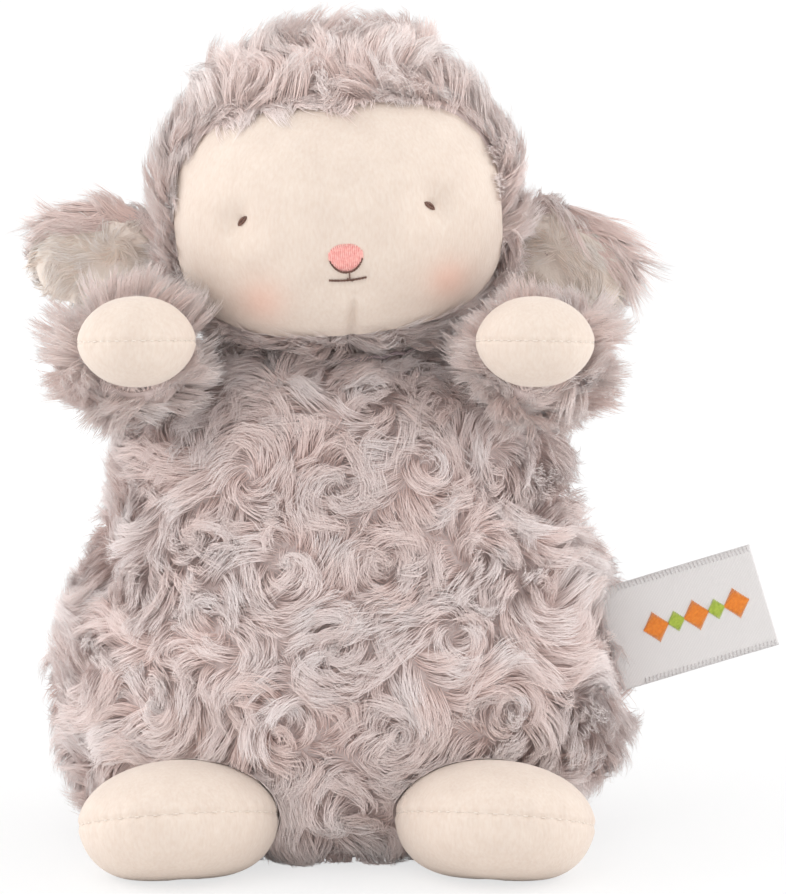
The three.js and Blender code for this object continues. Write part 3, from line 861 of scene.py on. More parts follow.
def hood_field(points):
    """The hood's backing: deep under the pile, and out at the edge of the face."""
    local = HEAD.back(points)
    away = smooth(outside_face(local, 0) / 12)
    inset = HOOD_RIM_DEPTH + (HOOD_PILE_DEPTH - HOOD_RIM_DEPTH) * away
    return (np.linalg.norm(local / (HEAD_HALF - inset[:, None]), axis=1) - 1) * HEAD_HALF.min()


# Torso

def rosette_mound(points):
    """How high the body's fur stands: 1 on top of a rosette, 0 in the valleys between them."""
    turns = np.arctan2(points[:, 1] * BELLY_RADIUS / TORSO_HALF_DEPTH, points[:, 0])
    row = (points[:, 2] + ROSETTE_WANDER * np.sin(3 * turns)) / ROSETTE_ROW
    return (1 + np.cos(ROSETTES_AROUND * turns) * np.cos(np.pi * row)) / 2


def body_bulk(points):
    """Fuller on the lamb's left side, and low down on its right, but flat in front of the label."""
    x, y, z = points.T
    middle, reach = LABEL_ZONE
    near_label = np.exp(-(((z - middle) / reach) ** 4)) * smooth((x - 38) / 16)
    flat = near_label * smooth((y + 26) / 16) * smooth((5 - y) / 5)
    left = smooth((x - 36) / 26) * smooth((z - 12) / 15) * smooth((112 - z) / 20)
    right = smooth((-x - 36) / 20) * smooth((34 - z) / 16)
    return LEFT_FULLNESS * left * (1 - flat) + RIGHT_FULLNESS * right - FLAT_AT_LABEL * flat


def torso_grid(inset, first, last, columns, rows):
    """Rows of points up one side of the torso, between two angles from the front."""
    heights = inset + (TORSO_HEIGHT - 2 * inset) * (1 - np.cos(np.linspace(0.02, np.pi, rows))) / 2
    heights = np.append(FLOOR_GAP + 0.8, heights)
    angles = np.radians(np.linspace(first, last, columns))
    depth = (TORSO_HALF_DEPTH - inset) / (BELLY_RADIUS - inset)
    radius = torso_radius(np.maximum(heights, inset + 0.01), inset)[:, None]
    grid = np.stack(np.broadcast_arrays(
        radius * np.sin(angles), -depth * radius * np.cos(angles), heights[:, None]), axis=-1)
    return dish(grid)


def dish(grid):
    """Points under the head let down so that it sits in them."""
    points = grid.reshape(-1, 3).copy()
    local = HEAD.back(points)
    across = np.clip(1 - (local[:, 0] / HEAD_HALF[0]) ** 2 - (local[:, 1] / HEAD_HALF[1]) ** 2, 0, 1)
    under = HEAD.origin[2] - (HEAD_HALF[2] + 1) * np.sqrt(across)
    points[:, 2] = np.where(across > 0, np.minimum(points[:, 2], under), points[:, 2])
    return points.reshape(grid.shape)


def make_torso():
    """The front and back panels with their coat, a ruff round the neck and a hem along the seat."""
    halves = {"front": (-90, 90), "back": (90, 270)}
    for name, (first, last) in halves.items():
        grid = torso_grid(BODY_PILE_DEPTH, first + 0.3, last - 0.3, 90, 60)
        piece = panel(f"body_{name}_backing", grid, False, BACKING_CLOTH, BACKING)
        add(piece, "torso", "mauve_fur", f"body_{name}_panel")
    make_seat()
    field = torso_field(BODY_PILE_DEPTH)

    def down(points, normals):
        return np.broadcast_to([0.0, 0.0, -1.0], points.shape)

    def up(points, normals):
        return unit(points * [1, 1, 0]) * 0.7 + [0, 0, 1.1]

    def clear(points):
        shown = HEAD_FIELD(points) > -2
        for hidden in [*SLEEVE_FIELDS, *FOOT_FIELDS]:
            shown &= hidden(points) > -1
        return shown

    obstacles = [HEAD_FIELD, face_field, *FOOT_FIELDS, *HAND_FIELDS]
    hem = Pile(density=2.2, length=7, lift=2.2, whorl_share=0.2, cling=0.3, sway=26, clump=0.4)
    ruff = Pile(density=4.0, length=13, lift=2.5, whorl_spacing=18, whorl_share=0.3, cling=0.0, sway=26)
    panels = (("front", -1, 3.35, 0.19), ("back", 1, 1.5, 0.24))
    for number, (name, side, density, width) in enumerate(panels):
        coat = Pile(density=density, length=9.5, lift=3.6, whorl_spacing=22, relief=3.4,
                    mound=rosette_mound, bulk=body_bulk, locks=0.32, gather=0.4, clump=0.42, sway=28, curl=34,
                    stray=0.8, width=width)

        def all_over(points, normals):
            return (points[:, 1] * side > 0) & clear(points)

        def round_neck(points, normals):
            return all_over(points, normals) & (HEAD_FIELD(points) < 11)

        def along_seat(points, normals):
            return all_over(points, normals) & (points[:, 2] < 8)

        pile(f"body_{name}_pile", "torso", "mauve_fur", FUR, coat, field, TORSO_BOX, all_over,
             down, obstacles, seed=number)
        pile(f"neck_{name}_ruff", "torso", "mauve_fur", FUR, ruff, field, TORSO_BOX, round_neck,
             up, obstacles, seed=4 + number)
        pile(f"seat_{name}_hem", "torso", "mauve_fur", FUR, hem, field, TORSO_BOX, along_seat,
             down, obstacles, seed=60 + number)


def make_seat():
    """The flat seat: a disc of the same cloth, pile side down."""
    depth = TORSO_HALF_DEPTH / BELLY_RADIUS
    rings = np.linspace(0, SEAT_RADIUS - 1, 24)[:, None]
    angles = np.linspace(0, 2 * np.pi, 96, endpoint=False)
    rise = 0.5 + 3.2 * smooth((rings - SEAT_RADIUS + 9) / 9) + 0 * angles
    grid = np.stack([rings * np.sin(angles), -depth * rings * np.cos(angles), rise], axis=-1)
    piece = panel("seat_backing", grid, True, BACKING_CLOTH, BACKING)
    add(piece, "torso", "mauve_fur", "seat_panel")


# Head

def face_reach(angle):
    """From the middle of the face to its edge, in a direction across it."""
    above = np.sin(angle) > 0
    rise = np.where(above, FACE_ABOVE, FACE_BELOW)
    power = np.where(above, SQUARE_ABOVE, SQUARE_BELOW)
    wide = np.abs(np.cos(angle) / FACE_HALF_WIDTH) ** power
    high = np.abs(np.sin(angle) / rise) ** power
    return (wide + high) ** (-1 / power)


def face_depth(x, z):
    """How far the face stands out in front of the head's middle."""
    level = 1 - (x / CHEEK_HALF[0]) ** 2 - ((z - CHEEK_CENTRE[2]) / CHEEK_HALF[2]) ** 2
    depth = -CHEEK_CENTRE[1] + CHEEK_HALF[1] * np.sqrt(np.maximum(level, 0.01))
    for eye_x, eye_z in EYE_PLACES:
        outer = eye_x + math.copysign(0.8, eye_x)
        depth = depth - EYE_DENT * np.exp(-((np.hypot(x - outer, z - eye_z) / EYE_DENT_REACH) ** 2))
        depth = depth - EYE_PIT * np.exp(-((np.hypot(x - eye_x, z - eye_z) / EYE_PIT_REACH) ** 2))
        inner = eye_x - math.copysign(2.2, eye_x)
        depth = depth + EYE_FOLD * np.exp(-((np.hypot((x - inner) / 1.5, (z - eye_z) / 2.6)) ** 2))
    below = smooth((DART_TOP[1] - z) / 6)
    share = (z - DART_TOP[1]) / (DART_BOTTOM[1] - DART_TOP[1])
    dart = DART_TOP[0] + (DART_BOTTOM[0] - DART_TOP[0]) * share
    depth = depth + below * DART_SWELL * np.exp(-(((x - dart) / 6) ** 2))
    depth = depth - below * DART_CREASE * np.exp(-(((x - dart) / 1.0) ** 2))
    mouth = np.exp(-(((x - NOSE_PLACE[0]) / 5) ** 2) - ((z + MOUTH_DROP) / 1.3) ** 2)
    return depth - MOUTH_DENT * mouth


def on_face(places, lift=0.0):
    """Points across the face, set on it and raised a little, in the lamb's frame."""
    places = np.asarray(places, float)
    depth = face_depth(places[:, 0], places[:, 1])
    return HEAD.out(np.stack([places[:, 0], -depth - lift, places[:, 1]], axis=1))


def make_face():
    angles = np.linspace(0, 2 * np.pi, 260, endpoint=False)
    shares = np.append(np.linspace(0, 1, 80), [1.0, 0.985, 0.96])
    hem = np.append(np.zeros(80), [0.3, 0.6, 1.0]) * FACE_HEM
    reach = face_reach(angles) * shares[:, None]
    x, z = reach * np.cos(angles), reach * np.sin(angles)
    tuck = FACE_TUCK * smooth((shares - 0.86) / 0.14)[:, None] ** 2
    depth = face_depth(x, z) - tuck - hem[:, None]
    local = np.stack([x, -depth, z], axis=-1)
    piece = panel("face_velour", HEAD.out(local), True, VELOUR_CLOTH, VELOUR)
    blush = np.zeros(len(piece.data.vertices), np.float32)
    places = HEAD.back(np.array([v.co for v in piece.data.vertices]) / MM)
    for blush_x, blush_z, size in BLUSH_PLACES:
        away = np.hypot(places[:, 0] - blush_x, places[:, 2] - blush_z)
        blush += BLUSH_STRENGTH * np.exp(-((away / size) ** 2))
    piece.data.attributes.new("blush", "FLOAT", "POINT").data.foreach_set("value", blush)
    add(piece, "head", "cream_velour", "face_panel")


def satin(columns, place, radius):
    """Satin stitches side by side: each a slim thread from (across, low, high)."""
    parts = []
    for across, low, high in columns:
        share = np.linspace(0, 1, 7)
        line = np.stack([np.full(7, across), low + (high - low) * share], axis=1)
        arch = radius * 1.1 * np.sin(np.pi * share) ** 0.6
        parts.append(tube(place(line, arch), radius * (0.55 + 0.45 * np.sin(np.pi * share) ** 0.5)))
    return joined(parts)


def make_features():
    nose_x, nose_z = NOSE_PLACE
    radius = 0.3
    across = np.arange(-NOSE_WIDTH / 2 + radius, NOSE_WIDTH / 2, radius * 1.55)
    share = across / (NOSE_WIDTH / 2)
    top = NOSE_HEIGHT * 0.42 * (1 - np.abs(share) ** 2.6) ** 0.55
    bottom = -NOSE_HEIGHT * 0.58 * (1 - np.abs(share) ** 2.1) ** 0.62
    columns = zip(across + nose_x, bottom + nose_z, top + nose_z)
    points, faces = satin(columns, on_face, radius)
    add(mesh_piece("nose_satin_stitch", points, faces, PINK_THREAD), "head", "pink_thread",
        "nose_stitching")

    edge = np.linspace(-0.97, 0.97, 25)
    low = -NOSE_HEIGHT * 0.585 * (1 - np.abs(edge) ** 2.1) ** 0.62
    rim = np.stack([edge * (NOSE_WIDTH / 2 - 0.1) + nose_x, low + nose_z], axis=1)
    stem_x = nose_x + 0.5
    stem = np.array([[stem_x, nose_z - NOSE_HEIGHT * 0.58], [stem_x, -MOUTH_DROP + 0.1]])
    parts = ply(on_face(rim, lift=0.3), radius=0.24, pitch=1.3)
    parts += ply(on_face(stem, lift=0.35), radius=0.15, pitch=1.0)
    add(mesh_piece("nose_edge_thread", *joined(parts), BROWN_THREAD), "head", "brown_thread",
        "nose_edge_stitch")

    span = np.linspace(-MOUTH_WIDTH / 2, MOUTH_WIDTH / 2, 15)
    line = np.stack([span + nose_x, -MOUTH_DROP + 0.02 * span**2 - 0.15], axis=1)
    tack = np.array([[stem_x - 0.6, -MOUTH_DROP + 0.35], [stem_x + 0.6, -MOUTH_DROP - 0.45]])
    parts = ply(on_face(line, lift=0.25), radius=0.25, pitch=1.4)
    parts += ply(on_face(tack, lift=0.55), radius=0.18, pitch=1.0)
    add(mesh_piece("mouth_thread", *joined(parts), BROWN_THREAD), "head", "brown_thread",
        "mouth_stitch")

    for name, side in SIDES.items():
        make_eye(name, side)


def make_eye(name, side):
    """Two dark stitches laid side by side in a pulled dent; the right eye mirrors the left."""
    lean = math.radians(side * EYE_SLANT)
    eye_x, eye_z = EYE_PLACES[1]
    parts = []
    for shift in (-0.32, 0.32):
        share = np.linspace(-1, 1, 9)
        half = EYE_LENGTH / 2 * (1 - 0.35 * abs(shift))
        bow = shift * (1 - share**2)
        x = side * eye_x + bow * math.cos(lean) + share * half * math.sin(-lean)
        z = eye_z + bow * math.sin(lean) + share * half * math.cos(lean)
        line = on_face(np.stack([x, z], axis=1), lift=0.25)
        parts.append(tube(line, 0.36 * np.sqrt(1.02 - share**2)))
    piece = mesh_piece(f"{name}_eye_thread", *joined(parts), BROWN_THREAD)
    add(piece, "head", "brown_thread", f"{name}_eye_stitch")


def make_hood():
    """Both halves of the hood, their coat, the close edge round the face and the tufts under the ears."""
    for name, side in SIDES.items():
        middle = 0 if side > 0 else 180
        angles = np.radians(np.linspace(middle - 89.9, middle + 89.9, 80))
        tilt = np.linspace(0, np.pi * 0.9, 200)[:, None]
        ways = np.stack(np.broadcast_arrays(
            np.sin(tilt) * np.cos(angles), np.cos(tilt), np.sin(tilt) * np.sin(angles)), axis=-1)
        local = ways * HEAD_HALF
        open_here = (outside_face(local.reshape(-1, 3), 0.3) < 0).reshape(200, 80)
        last = np.where(open_here.any(axis=0), open_here.argmax(axis=0), 199)
        rows = np.round(np.linspace(0, 1, 60)[:, None] * last).astype(int)
        grid = HEAD.out(local[rows, np.arange(80)])
        held, _ = settle(hood_field, grid.reshape(-1, 3))
        piece = panel(f"hood_{name}_backing", held.reshape(grid.shape), False, BACKING_CLOTH, BACKING)
        add(piece, "head", "mauve_fur", f"hood_{name}_panel")

    edge = Pile(density=4.6, length=8, lift=2.6, whorl_spacing=14, whorl_share=0.2, cling=0.4,
                gather=0.3, clump=0.5, sway=30)
    jowl = Pile(density=3, length=13, lift=5, whorl_spacing=14, whorl_share=0.2, cling=0.0,
                gather=0.3, clump=0.5, sag=0.35, sway=26)

    def crown(points):
        """Fuller on top and at the corners of the crown, closer at the temples."""
        local = HEAD.back(points)
        lean = np.abs(np.degrees(np.arctan2(local[:, 0], local[:, 2])))
        full = 2.6 * np.exp(-(((lean - 30) / 12) ** 2)) + 1.2 * np.exp(-((lean / 16) ** 2))
        return full - 2.6 * np.exp(-(((lean - 60) / 15) ** 2))

    def around(local):
        """Along the edge of the face, down on both sides."""
        return np.cross(unit(local * [1, 0, 1]), [0.0, 1.0, 0.0]) * np.sign(local[:, :1])

    def over_head(points, normals):
        local = HEAD.back(points)
        outward = unit(local * [1, 0.4, 1] + [0, 0, 6]) + [0, 0.3, 0]
        rim = np.exp(-((outside_face(local, 0) / 3.5) ** 2))[:, None]
        inward = around(local) * 0.8 - unit(local * [1, 0, 1]) * 0.7
        return HEAD.along(outward * (1 - rim) + inward * rim * 2.5)

    coat = Pile(density=2.9, length=10, lift=6, whorl_spacing=16, whorl_share=0.6, relief=1.5, bulk=crown,
                locks=0.32, gather=0.35, clump=0.4, sway=26, stray=0.9, width=0.2)

    def along_edge(points, normals):
        local = HEAD.back(points)
        return HEAD.along(around(local) * 0.9 - unit(local * [1, 0, 1]) * 0.5 - [0, 0.4, 0])

    def outward(points, normals):
        local = HEAD.back(points)
        return HEAD.along(unit(local * [1, 0, 0.4]) + [0, -0.3, -0.3])

    box = (HEAD.origin - 48, HEAD.origin + 48)
    torso = torso_field(BODY_PILE_DEPTH)
    obstacles = [face_field, *HAND_FIELDS]
    for name, side in SIDES.items():
        def all_over(points, normals):
            local = HEAD.back(points)
            shown = (local[:, 0] * side > 0) & (outside_face(local, -0.6) > 0)
            return shown & (torso(points) > -3)

        def at_edge(points, normals):
            return all_over(points, normals) & (outside_face(HEAD.back(points), 0) < 4)

        def below_ear(points, normals):
            local = HEAD.back(points)
            return all_over(points, normals) & (local[:, 2] < -9) & (np.abs(local[:, 1] + 2) < 14)

        # The hood's coat, edge and jowls take the lighter copy of the fur: painted light.
        pile(f"hood_{name}_pile", "head", "mauve_fur", LIT_FUR, coat, hood_field, box, all_over,
             over_head, obstacles, seed=10 + side)
        pile(f"hood_{name}_edge", "head", "mauve_fur", LIT_FUR, edge, hood_field, box, at_edge,
             along_edge, obstacles, seed=50 + side)
        pile(f"hood_{name}_jowl", "head", "mauve_fur", LIT_FUR, jowl, hood_field, box, below_ear,
             outward, obstacles, seed=54 + side)
    make_fringe(box)


def make_fringe(box):
    """Locks that fall from the hood over the brow: long on the lamb's right, short on its left."""
    def drift_of(points, normals):
        return np.broadcast_to(HEAD.along([0.15, -0.5, -1.0]), points.shape)

    for number, (name, first, last, length) in enumerate((("right", -38, 6, 9), ("left", 4, 40, 5))):
        style = Pile(density=4.0, length=length, lift=2.2, whorl_spacing=16, whorl_share=0.25, cling=0.3,
                     sag=0.3, sway=24, gather=0.5, clump=0.5, width=0.19)

        def keep(points, normals):
            local = HEAD.back(points)
            away = outside_face(local, 0)
            near = (away > -0.6) & (away < 3.5) & (local[:, 2] > 6)
            return near & (local[:, 0] > first) & (local[:, 0] < last)

        # The brow fringe takes the lighter copy of the fur: painted light.
        pile(f"{name}_brow_fringe", "head", "mauve_fur", LIT_FUR, style, hood_field, box, keep, drift_of,
             [face_field], seed=13 + 45 * number)


# Ears

def make_ear(name, side):
    place = EARS[name]
    centre = np.array([side * EAR_CENTRE, 0, 0])
    rows, columns = 30, 60
    tilt = np.linspace(0, np.pi, rows)[:, None]
    angles = np.linspace(0, 2 * np.pi, columns, endpoint=False)
    half = EAR_HALF - EAR_PILE_DEPTH
    leaf = np.stack(np.broadcast_arrays(
        half[0] * np.sin(tilt) * np.cos(angles),
        half[1] * np.cos(tilt) + EAR_SET_BACK,
        half[2] * np.sin(tilt) * np.sin(angles)), axis=-1) + centre
    body = f"{name}_ear"
    piece = mesh_piece(f"{name}_ear_backing", place.out(leaf).reshape(-1, 3),
                       grid_faces(rows, columns, True), BACKING_CLOTH)
    add(piece, body, "mauve_fur", f"{name}_ear_back")
    make_lining(name, side)

    field = ellipsoid_field(place, centre + [0, EAR_SET_BACK, 0], half)
    box = (place.out(centre) - 22, place.out(centre) + 22)
    coat = Pile(density=4.2, length=9, lift=2.4, whorl_spacing=14, whorl_share=0.3,
                cling=0.3, sag=0.1, gather=0.3, clump=0.4, sway=26, stray=0.8, width=0.19)
    fringe = Pile(density=5.0, length=18 + 2 * side, lift=2, whorl_spacing=14, whorl_share=0.2,
                  cling=0.0, sag=0.2 + 0.1 * side, gather=0.35, clump=0.4, sway=24, stray=0.8, width=0.19)

    def spread(points, normals):
        local = place.back(points) - centre
        way = np.stack([local[:, 0] + side * 12, 0 * local[:, 0], local[:, 2] * 0.6], axis=1)
        return place.along(unit(way))

    def sweep(points, normals):
        return np.broadcast_to(place.along([side * 1.0, -0.25, 0]), points.shape)

    def behind(points, normals):
        local = place.back(points) - centre
        rim = np.hypot(local[:, 0] / half[0], local[:, 2] / half[2])
        shown = (local[:, 1] > 0) | ((rim > 0.9) & (local[:, 2] > 0) & (local[:, 0] * side > -6))
        return shown & (HEAD_FIELD(points) > -3)

    def top(points, normals):
        local = place.back(points) - centre
        shown = (local[:, 2] > 6.5) & (local[:, 1] < 3.5) & (local[:, 0] * side > -9)
        return shown & (HEAD_FIELD(points) > -2)

    obstacles = [HEAD_FIELD, *SLEEVE_FIELDS]
    # The ear's coat and fringe take the lighter copy of the fur: painted light.
    pile(f"{name}_ear_pile", body, "mauve_fur", LIT_FUR, coat, field, box, behind, spread,
         obstacles, seed=20 + side)
    pile(f"{name}_ear_fringe", body, "mauve_fur", LIT_FUR, fringe, field, box, top, sweep,
         obstacles, seed=24 + side)


def make_lining(name, side):
    """The cream front of an ear: cupped, its lower edge forward, with a fold from its root."""
    place = EARS[name]
    centre = LINING_CENTRE * [side, 1, 1]
    angles = np.linspace(0, 2 * np.pi, 72, endpoint=False)
    shares = np.linspace(0, 1, 26)[:, None]
    x = LINING_HALF[0] * shares * np.cos(angles)
    z = LINING_HALF[2] * shares * np.sin(angles)
    edge = LINING_EDGE * np.sqrt(np.clip(1 - shares**4, 0, 1))
    cup = LINING_CUP * (1 - shares**2)
    along = smooth((5 - side * x) / 12)
    fold = LINING_FOLD * along * np.exp(-(((z + 1.5) / 2.6) ** 2))
    y = -LINING_FRONT - edge + cup + fold + LINING_LEAN * z
    local = np.stack([x, y, z], axis=-1) + centre
    # The lining cloth is a lighter copy of the velour's cream: painted light in the ear's shaded hollow.
    piece = panel(f"{name}_ear_velour", place.out(local), True, LIT_LINING_CLOTH, LINING_CLOTH_DEPTH)
    add(piece, f"{name}_ear", "cream_velour", f"{name}_ear_lining")

    def field(points):
        local = place.back(points) - centre
        local[:, 1] -= LINING_LEAN * local[:, 2] - LINING_PLUSH_DEPTH
        half = LINING_HALF * [1, 0.4, 1]
        return (np.linalg.norm(local / half, axis=1) - 1) * half.min()

    style = Pile(density=4.0, length=4.5, lift=1.6, whorl_spacing=9, whorl_share=0.3, cling=0.25,
                 tuft_spacing=3, gather=0.25, clump=0.4, stray=0.4, sag=0.15, width=0.18)

    def outward(points, normals):
        local = place.back(points) - centre
        return place.along(unit(local * [1, 0, 1] + [side * 5, 0, -3]))

    def front(points, normals):
        local = place.back(points) - centre
        hollow = np.hypot((local[:, 0] * side + 3) / 5, (local[:, 2] + 1.5) / 2.2)
        return (local[:, 1] < LINING_LEAN * local[:, 2] - 2.2) & (hollow > 1)

    box = (place.out(centre) - 18, place.out(centre) + 18)
    pile(f"{name}_ear_plush", f"{name}_ear", "cream_velour", PLUSH, style, field, box, front,
         outward, [HEAD_FIELD, *SLEEVE_FIELDS], seed=27 + side)


# Arms and feet

def half_oval(half, side, dip, puckers, fullness, point=0):
    """Half of a plump oval from its seam to its pole, drawn in and puckered along the seam."""
    turns = np.linspace(0, 2 * np.pi, 160, endpoint=False)
    rise = np.linspace(0, np.pi / 2, 44)[:, None] ** 1.35 / (np.pi / 2) ** 0.35
    across = np.cos(rise) ** fullness - 0.05 * np.sin(2 * rise) * np.exp(-rise * 2)
    points = np.stack(np.broadcast_arrays(
        half[0] * across * np.cos(turns),
        half[1] * across * np.sin(turns),
        side * half[2] * np.sin(rise)), axis=-1)
    ripple = 0.5 + 0.5 * np.cos(puckers * turns + 1.3 * np.sin(3 * turns))
    seam = np.exp(-((rise / 0.06) ** 2)) * dip
    soft = np.exp(-((rise / 0.22) ** 2)) * dip * 0.7 * ripple
    points[..., :2] -= unit(points)[..., :2] * (seam + soft)[..., None]
    points[..., 2] *= 1 - point * np.abs(points[..., 0] / half[0]) ** 3
    points[..., 2] += side * 0.02
    return points


def seam_stitches(name, body, place, half, spacing, depth):
    """Small stitches along the seam round an oval, let into it."""
    turns = np.arange(0, 2 * np.pi, spacing / half[:2].mean())
    parts = []
    for angle in turns:
        run = angle + np.linspace(-0.28, 0.28, 4) * spacing / half[:2].mean()
        sunk = depth - 0.3 * np.array([0, 1, 1, 0])
        line = np.stack([(half[0] - sunk) * np.cos(run), (half[1] - sunk) * np.sin(run), 0 * run], axis=1)
        parts.append(tube(place.out(line), radius=0.2, sides=5))
    add(mesh_piece(f"{name}_seam_stitches", *joined(parts), CREAM_THREAD), body, None)


def make_arm(name, side):
    place = ARMS[name]
    body = f"{name}_arm"
    hand = HANDS[name]
    for part, half_side in {"top": 1, "palm": -1}.items():
        grid = hand.out(half_oval(HAND_HALF, half_side, dip=0.28, puckers=26, fullness=0.94, point=0.12))
        piece = panel(f"{name}_hand_{part}_velour", grid, True, VELOUR_CLOTH, VELOUR)
        add(piece, body, "cream_velour", f"{name}_hand_{part}")
    seam_stitches(f"{name}_hand", body, hand, HAND_HALF, spacing=2.0, depth=0.62)

    rows, columns = 40, 48
    run = np.linspace(0, 1, rows)
    inset = SLEEVE_PILE_DEPTH
    ball = SLEEVE_ROOT - inset
    reach = -ball + run * (SLEEVE_LENGTH - inset + ball)
    taper = SLEEVE_ROOT + (SLEEVE_CUFF - SLEEVE_ROOT) * np.clip(reach / SLEEVE_LENGTH, 0, 1) - inset
    root = np.sqrt(np.clip(1 - (np.minimum(reach, 0) / ball) ** 2, 0, 1))
    cuff = np.sqrt(np.clip(1 - (np.maximum(reach - CUFF_ROUND_FROM, 0) / CUFF_ROUND_REACH) ** 2, 0, 1))
    angles = np.linspace(0, 2 * np.pi, columns, endpoint=False)
    radius = (taper * root * cuff)[:, None]
    local = np.stack(np.broadcast_arrays(
        radius * np.cos(angles), -reach[:, None], radius * np.sin(angles)), axis=-1)
    piece = panel(f"{name}_sleeve_backing", place.out(local), True, BACKING_CLOTH, BACKING)
    add(piece, body, "mauve_fur", f"{name}_sleeve")

    field = sleeve_field(place, inset)

    def less_below(points):
        return -SLEEVE_LESS_BELOW * smooth(-place.back(points)[:, 2] / 8)

    coat = Pile(density=3.2, length=10, lift=5.5, whorl_spacing=15, whorl_share=0.3, bulk=less_below,
                cling=0.3, sag=0.12, sway=28, gather=0.3, clump=0.4, stray=0.9, width=0.19)
    halo = Pile(density=5, length=7.5, lift=10.5, whorl_spacing=15, whorl_share=0.3, bulk=less_below,
                cling=0.0, sag=0.15, sway=30, gather=0.2, clump=0.3, stray=0.9, width=0.19)

    def forward(points, normals):
        return np.broadcast_to(place.along([0, -1.0, 0]), points.shape)

    torso = torso_field(BODY_PILE_DEPTH)
    own_hand = HAND_FIELDS[0 if side > 0 else 1]

    def all_over(points, normals):
        return (own_hand(points) > -0.5) & (torso(points) > -2)

    def at_cuff(points, normals):
        run = -place.back(points)[:, 1]
        return all_over(points, normals) & (run > CUFF_FUR[0]) & (run < CUFF_FUR[1])

    box = (place.out([0, -16, 0]) - 34, place.out([0, -16, 0]) + 34)
    obstacles = [*HAND_FIELDS, face_field]
    # The sleeve and cuff take the lighter copy of the fur: painted light.
    pile(f"{name}_sleeve_pile", body, "mauve_fur", LIT_FUR, coat, field, box, all_over, forward,
         obstacles, seed=30 + side)
    pile(f"{name}_cuff_pile", body, "mauve_fur", LIT_FUR, halo, field, box, at_cuff, forward,
         obstacles, seed=34 + side)


def make_foot(name):
    place = FEET[name]
    for part, side, fullness in (("top", 1, 1.0), ("sole", -1, 0.62)):
        points = place.out(half_oval(FOOT_HALF, side, dip=0.5, puckers=34, fullness=fullness))
        low = points[..., 2] - FLOOR_GAP
        points[..., 2] = np.maximum(points[..., 2], FLOOR_GAP + 0.02 * low)
        piece = panel(f"{name}_foot_{part}_velour", points, True, VELOUR_CLOTH, VELOUR)
        add(piece, f"{name}_foot", "cream_velour", f"{name}_foot_{part}")
    seam_stitches(f"{name}_foot", f"{name}_foot", place, FOOT_HALF, spacing=2.4, depth=0.95)


# Label

def make_label():
    """A folded ribbon: out from the seam, round a tight fold and back, with stitched edges."""
    gap = LABEL_LAYERS / 2
    out = np.linspace(-LABEL_TUCK, LABEL_LENGTH - gap, 40)
    bend = np.linspace(-90, 90, 9)[1:-1]
    run = np.concatenate([out, LABEL_LENGTH - gap + gap * np.cos(np.radians(bend)), out[::-1]])
    sink = np.concatenate([np.full(40, -gap), gap * np.sin(np.radians(bend)), np.full(40, gap)])
    across = np.linspace(-LABEL_WIDTH / 2, LABEL_WIDTH / 2, 30)
    x, z = np.meshgrid(run, across, indexing="ij")
    y = sink[:, None] + label_wave(x, z)
    piece = panel("label_ribbon", LABEL.out(np.stack([x, y, z], axis=-1)), False, RIBBON_CLOTH, RIBBON)
    lay_ribbon_map(piece)
    add(piece, "label", "label_ribbon", "side_label")
    stitches = []
    for face in (-1, 1):
        for edge in (-1, 1):
            for x in np.arange(0.8, LABEL_LENGTH - 0.5, SELVEDGE_STEP):
                ends = edge * (LABEL_WIDTH / 2 - np.array([0.1, 0.8, 1.5]))
                line = np.stack([x + 0.12 * np.arange(3), ends], axis=1)
                stitches.append(tube(on_label(line, 0.12, face), radius=0.13, sides=4))
    selvedge = mesh_piece("label_selvedge_stitches", *joined(stitches), GREY_THREAD)
    add(selvedge, "label", None)
    motifs = make_motifs()


def label_wave(x, z):
    return 0.25 * np.sin(x / 9) * (x / LABEL_LENGTH) + 0.15 * np.sin(z / 7) * (x / LABEL_LENGTH)


def on_label(places, lift, face=-1):
    places = np.asarray(places, float)
    depth = face * (LABEL_LAYERS / 2 + lift) + label_wave(places[:, 0], places[:, 1])
    return LABEL.out(np.stack([places[:, 0], depth, places[:, 1]], axis=1))


def lay_ribbon_map(piece):
    """A map along and across the ribbon, for its weave."""
    mesh = piece.data
    local = LABEL.back(np.array([v.co for v in mesh.vertices]) / MM)
    corners = np.array([loop.vertex_index for loop in mesh.loops])
    places = np.stack([local[:, 0] / LABEL_LENGTH, local[:, 2] / LABEL_LENGTH], axis=1)[corners]
    mesh.uv_layers.new(name="weave").uv.foreach_set("vector", places.astype(np.float32).ravel())


def make_motifs():
    """A plain row of small stitched diamonds in two colours by turns, on the front of the ribbon."""
    made = []
    for name, thread, half, turns in (
        ("orange", ORANGE_THREAD, ORANGE_HALF, (0, 2, 4)),
        ("green", GREEN_THREAD, GREEN_HALF, (1, 3)),
    ):
        parts = []
        for count in turns:
            across = np.arange(-half + 0.2, half, 0.3)
            reach = half * 1.2 * (1 - np.abs(across) / half)
            columns = zip(across + MOTIF_FIRST + count * MOTIF_STEP, -reach, reach)
            parts.append(satin(columns, lambda line, arch: on_label(line, 0.06 + arch), 0.16))
        piece = mesh_piece(f"label_{name}_diamonds", *joined(parts), thread)
        made.append(add(piece, "label", None))
    return made


# Inside

def make_fillings():
    """Lumpy filling in the space that each inner solid holds."""
    fillings = {"body": "torso", "head": "head"}
    for name in SIDES:
        fillings[f"{name}_arm"] = f"{name}_arm"
        fillings[f"{name}_foot"] = f"{name}_foot"
    for name, body in fillings.items():
        piece = lumpy(f"{name}_fill", f"{name}_stuffing", FIBRE, voxel=3.0)
        add(piece, body, "fibre_filling", f"{name}_stuffing")
    pouch = lumpy("pellet_bag", "pellet_pouch", POUCH_CLOTH, voxel=2.0)
    add(pouch, "torso", "pouch_cloth", "pellet_pouch")


